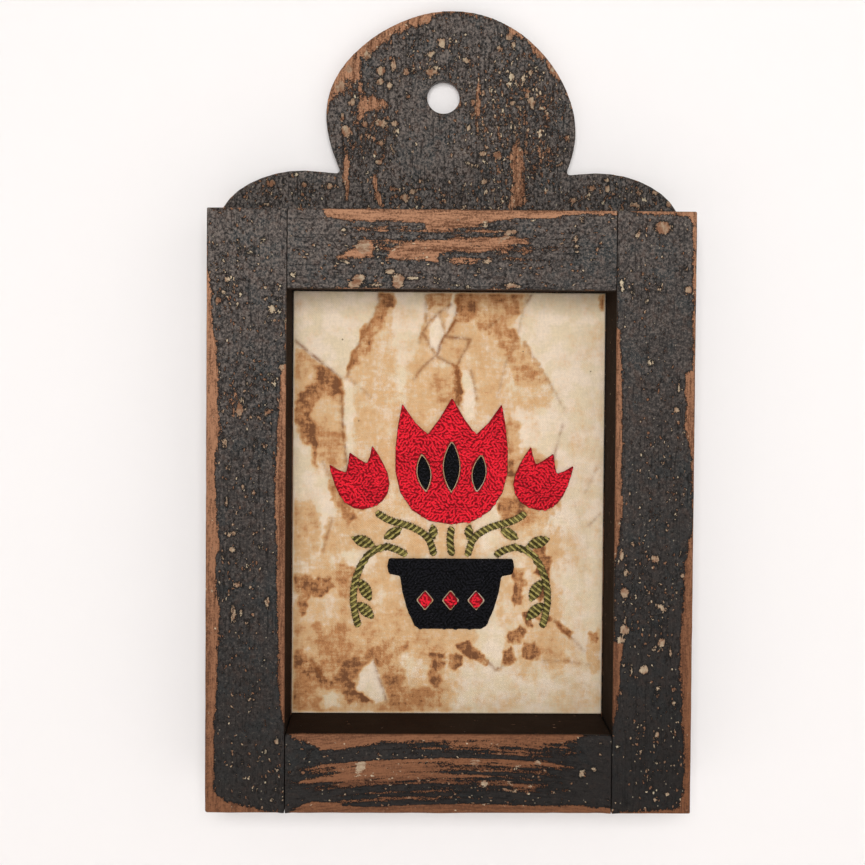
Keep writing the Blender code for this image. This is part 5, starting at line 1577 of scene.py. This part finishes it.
def loop_places(node, chance):
    """Jittered rows of places inside a pad."""
    low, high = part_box(node)
    rows = int((high.z - low.z) / (ROW_PITCH * MM)) + 1
    columns = int((high.x - low.x) / (LOOP_PITCH * MM)) + 1
    places = []
    for row in range(rows):
        for column in range(columns):
            dx, dz = chance.uniform(-LOOP_JITTER, LOOP_JITTER, 2)
            x = low.x + (column + 0.5 * (row % 2) + 0.25 + dx) * LOOP_PITCH * MM
            z = low.z + (row + 0.5 + dz) * ROW_PITCH * MM
            if holds(node, x, z, LOOP_CLEARANCE):
                places.append((x, z))
    return places


def make_pile(node, slot):
    chance = np.random.default_rng(SEED + len(node))
    low, high = (np.array(corner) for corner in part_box(node))
    tall = (high[1] - low[1]) / MM - LOOP_YARN
    arch, faces = one_loop()
    # the yarn under the loops, painted dark as the shade between them
    parts = [(*pad_base(node, BASE_SHARE), BASE_PAINTED_SHADE)]
    places = loop_places(node, chance)
    swirl = drift(np.array([(x, 0.0, z) for x, z in places]), SWIRL_SIZE) * LOOP_SWIRL
    for (x, z), heading in zip(places, swirl):
        turn = math.radians(heading + chance.uniform(-LOOP_TURN, LOOP_TURN))
        tilt = math.radians(chance.uniform(-LOOP_TILT, LOOP_TILT))
        height = tall * chance.uniform(*LOOP_HEIGHTS)
        fit = fitted(node, x, z, turn)
        if fit is None:
            continue
        size, turn = fit
        points = arch * (size, 1.0, size)
        crown = points[:, 1] < -0.5
        points[:, 1] = np.where(crown, (points[:, 1] + 1.0) - height, points[:, 1] * height * 0.6)
        turned = points @ np.array(Matrix.Rotation(tilt, 3, "X") @ Matrix.Rotation(turn, 3, "Y")).T
        # tone: random per loop, plus painted light rising towards the loop's top
        tone = np.clip(-turned[:, 1] / tall, 0.0, 1.0) ** 2 * CROWN_PAINTED_LIGHT + chance.uniform(*LOOP_TONES)
        parts.append((turned * MM + (x, high[1], z), faces, tone))
    points, faces, tones = join_parts(parts)
    points[:, 1] = np.clip(points[:, 1], low[1], high[1])
    mesh = new_mesh("pile_of_" + node, points, faces, {"tone": tones})
    add_piece("pile_of_" + node, mesh, YARNS[slot], slot, node)


for pad in RED_PADS:
    make_pile(pad, "red_yarn")
for pad in BLACK_PADS:
    make_pile(pad, "black_yarn")

# %% [markdown]
# The stems, sprigs and leaves are stitched, not punched: slanting stitches of a thread of two plies,
# side by side. Straight lines are laid across each solid's outline at a slant, and each stretch
# that falls inside it becomes one stitch, which rises from the cloth and dives back into it. Light
# and dark thread take turns. The two plies are a tube with two lobes, twisted along its length.

# %% Stitched stems and leaves
STITCH_SLANT = 38.0
STITCH_PITCH = 0.92
STITCH_RINGS = 9
STITCH_SIDES = 8
STITCH_YARN = 0.47
STITCH_LOBES = 0.16
STITCH_TWIST = 0.5
STITCH_LONGEST = 3.6
STITCH_SINK = 0.12
STITCH_END = 0.72
SHADES = (0.72, 0.02)
SHADE_SPREAD = 0.16
STEP = 0.1
STITCH_SHORTEST = 4 * STEP
# the low thread under the stitches is painted dark, as the shade between them
LINE_BASE, LINE_PAINTED_SHADE = 0.3, 0.1


def inside_runs(node, start, direction, length):
    """The stretches of a straight line, in millimetres, that lie inside a solid's outline."""
    runs, first = [], None
    for index in range(int(length / STEP) + 2):
        point = start + direction * index * STEP
        inside = front_of(node, point[0] * MM, point[1] * MM) is not None
        if inside and first is None:
            first = point
        if not inside and first is not None:
            runs.append((first, point))
            first = None
    return runs


def one_stitch(start, end, base, tall, shade):
    """A twisted thread from one point of the cloth to another, in millimetres."""
    share = np.linspace(0.0, 1.0, STITCH_RINGS)
    bow = np.sin(share * math.pi)
    flat = start * (1 - share[:, None]) + end * share[:, None]
    lift = bow ** 0.55 * (tall - STITCH_YARN)
    centres = np.stack((flat[:, 0], base - STITCH_SINK - lift, flat[:, 1]), axis=1)
    along = (end - start) / np.linalg.norm(end - start)
    normals = np.tile((-along[1], 0.0, along[0]), (STITCH_RINGS, 1))
    radii = STITCH_YARN * (STITCH_END + 0.28 * bow ** 0.5)
    points, faces = tube(centres, normals, STITCH_SIDES, radii, STITCH_LOBES, STITCH_TWIST)
    # tone rises towards the top of the arch: painted light on the stitch, painted shade at its ends
    return points, faces, shade + 0.2 * np.repeat(bow, STITCH_SIDES)


def make_stitches(node):
    chance = np.random.default_rng(SEED + len(node))
    low, high = (np.array(corner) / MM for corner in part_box(node))
    slant = math.radians(STITCH_SLANT if "left" in node else 180 - STITCH_SLANT)
    direction = np.array((math.cos(slant), math.sin(slant)))
    aside = np.array((-direction[1], direction[0]))
    middle = np.array((low[0] + high[0], low[2] + high[2])) / 2
    reach = math.hypot(high[0] - low[0], high[2] - low[2]) / 2
    # the thread under the stitches, painted dark as shade
    parts = [(*pad_base(node, LINE_BASE), LINE_PAINTED_SHADE)]
    parts[0][0][:, 1] = np.clip(parts[0][0][:, 1], low[1] * MM, high[1] * MM)
    for index in range(int(2 * reach / STITCH_PITCH) + 1):
        start = middle + aside * (index * STITCH_PITCH - reach) - direction * reach
        for first, last in inside_runs(node, start, direction, 2 * reach):
            count = max(1, math.ceil(np.linalg.norm(last - first) / STITCH_LONGEST))
            for number in range(count):
                one = first + (last - first) * number / count
                two = first + (last - first) * (number + 1) / count
                if np.linalg.norm(two - one) > STITCH_SHORTEST:
                    shade = SHADES[index % 2] + chance.uniform(-SHADE_SPREAD, SHADE_SPREAD)
                    points, faces, tone = one_stitch(one, two, high[1], high[1] - low[1], shade)
                    parts.append((points * MM, faces, tone))
    points, faces, tones = join_parts(parts)
    points[:, 1] = np.clip(points[:, 1], low[1] * MM, high[1] * MM)
    mesh = new_mesh("stitches_of_" + node, points, faces, {"tone": tones})
    add_piece("stitches_of_" + node, mesh, YARNS["olive_thread"], "olive_thread", node)


for node in sorted(NODES):
    if node.startswith(("stem", "sprig")):
        make_stitches(node)

# %% [markdown]
# The sampler hangs on a plain pale wall. A soft light in front of it and above leaves a shadow under
# the frame, a weaker one fills from the right, and a third behind the wall lights the backboard for
# other views. The wall is one-sided: seen from behind it lets the view through, and it casts no
# shadow, so that the backboard can be looked at too. A plain pale floor lies lower down.

# %% Wall, floor and light
WALL_GAP = 0.0006
WALL_HALF = 1.6
FLOOR_Z = -0.38
WALL_COLOUR = tint(243, 240, 239)
WALL_ROUGH = 0.9
LIGHTS = (
    # name, place, size, watts
    ("key", (-0.03, -1.35, 0.13), 0.50, 12.0),
    ("fill", (0.95, -1.05, 0.05), 1.1, 1.4),
    ("behind", (0.15, 1.30, 0.10), 0.9, 8.0),
)
WORLD_LIGHT = 0.29
WORLD_COLOUR = tint(255, 251, 247)
AIM = Vector((MIDDLE_X, 0.0, FOOT_Z + FRAME_TALL * MM / 2))


def make_plane(name, half, matrix, material):
    mesh = bpy.data.meshes.new(name)
    bm = bmesh.new()
    bmesh.ops.create_grid(bm, x_segments=1, y_segments=1, size=half)
    bm.to_mesh(mesh)
    bm.free()
    plane = add_object(name, mesh)
    plane.matrix_world = matrix
    mesh.materials.append(material)


def stage_finish(name, one_sided):
    material, tree, shader = new_material(name)
    shader.inputs["Base Color"].default_value = WALL_COLOUR
    shader.inputs["Roughness"].default_value = WALL_ROUGH
    if one_sided:
        light_path = tree.nodes.new("ShaderNodeLightPath")
        facing = tree.nodes.new("ShaderNodeNewGeometry")
        clear = tree.nodes.new("ShaderNodeBsdfTransparent")
        mix = tree.nodes.new("ShaderNodeMixShader")
        shadow, behind = light_path.outputs["Is Shadow Ray"], facing.outputs["Backfacing"]
        seen_through = calc(tree, "MAXIMUM", shadow, behind)
        feed(tree, mix.inputs[0], seen_through)
        feed(tree, mix.inputs[1], shader.outputs[0])
        feed(tree, mix.inputs[2], clear.outputs[0])
        feed(tree, tree.nodes["Material Output"].inputs[0], mix.outputs[0])
    return material


upright = Matrix.Translation((MIDDLE_X, WALL_GAP, FOOT_Z))
upright = upright @ Matrix.Rotation(math.radians(90), 4, "X")
make_plane("stage_wall", WALL_HALF, upright, stage_finish("wall_finish", True))
level = Matrix.Translation((MIDDLE_X, 0.0, FLOOR_Z))
make_plane("stage_floor", WALL_HALF, level, stage_finish("floor_finish", False))

for name, place, size, watts in LIGHTS:
    data = bpy.data.lights.new(name, "AREA")
    data.energy = watts
    data.size = size
    light = add_object(name, data)
    light.location = place
    light.rotation_euler = (AIM - light.location).to_track_quat("-Z", "Y").to_euler()

world = bpy.data.worlds.new("pale_room")
bpy.context.scene.world = world
world.use_nodes = True
background = world.node_tree.nodes["Background"]
background.inputs["Color"].default_value = WORLD_COLOUR
background.inputs["Strength"].default_value = WORLD_LIGHT
bpy.context.scene.view_settings.view_transform = "Standard"
print("lights:", [row[0] for row in LIGHTS])
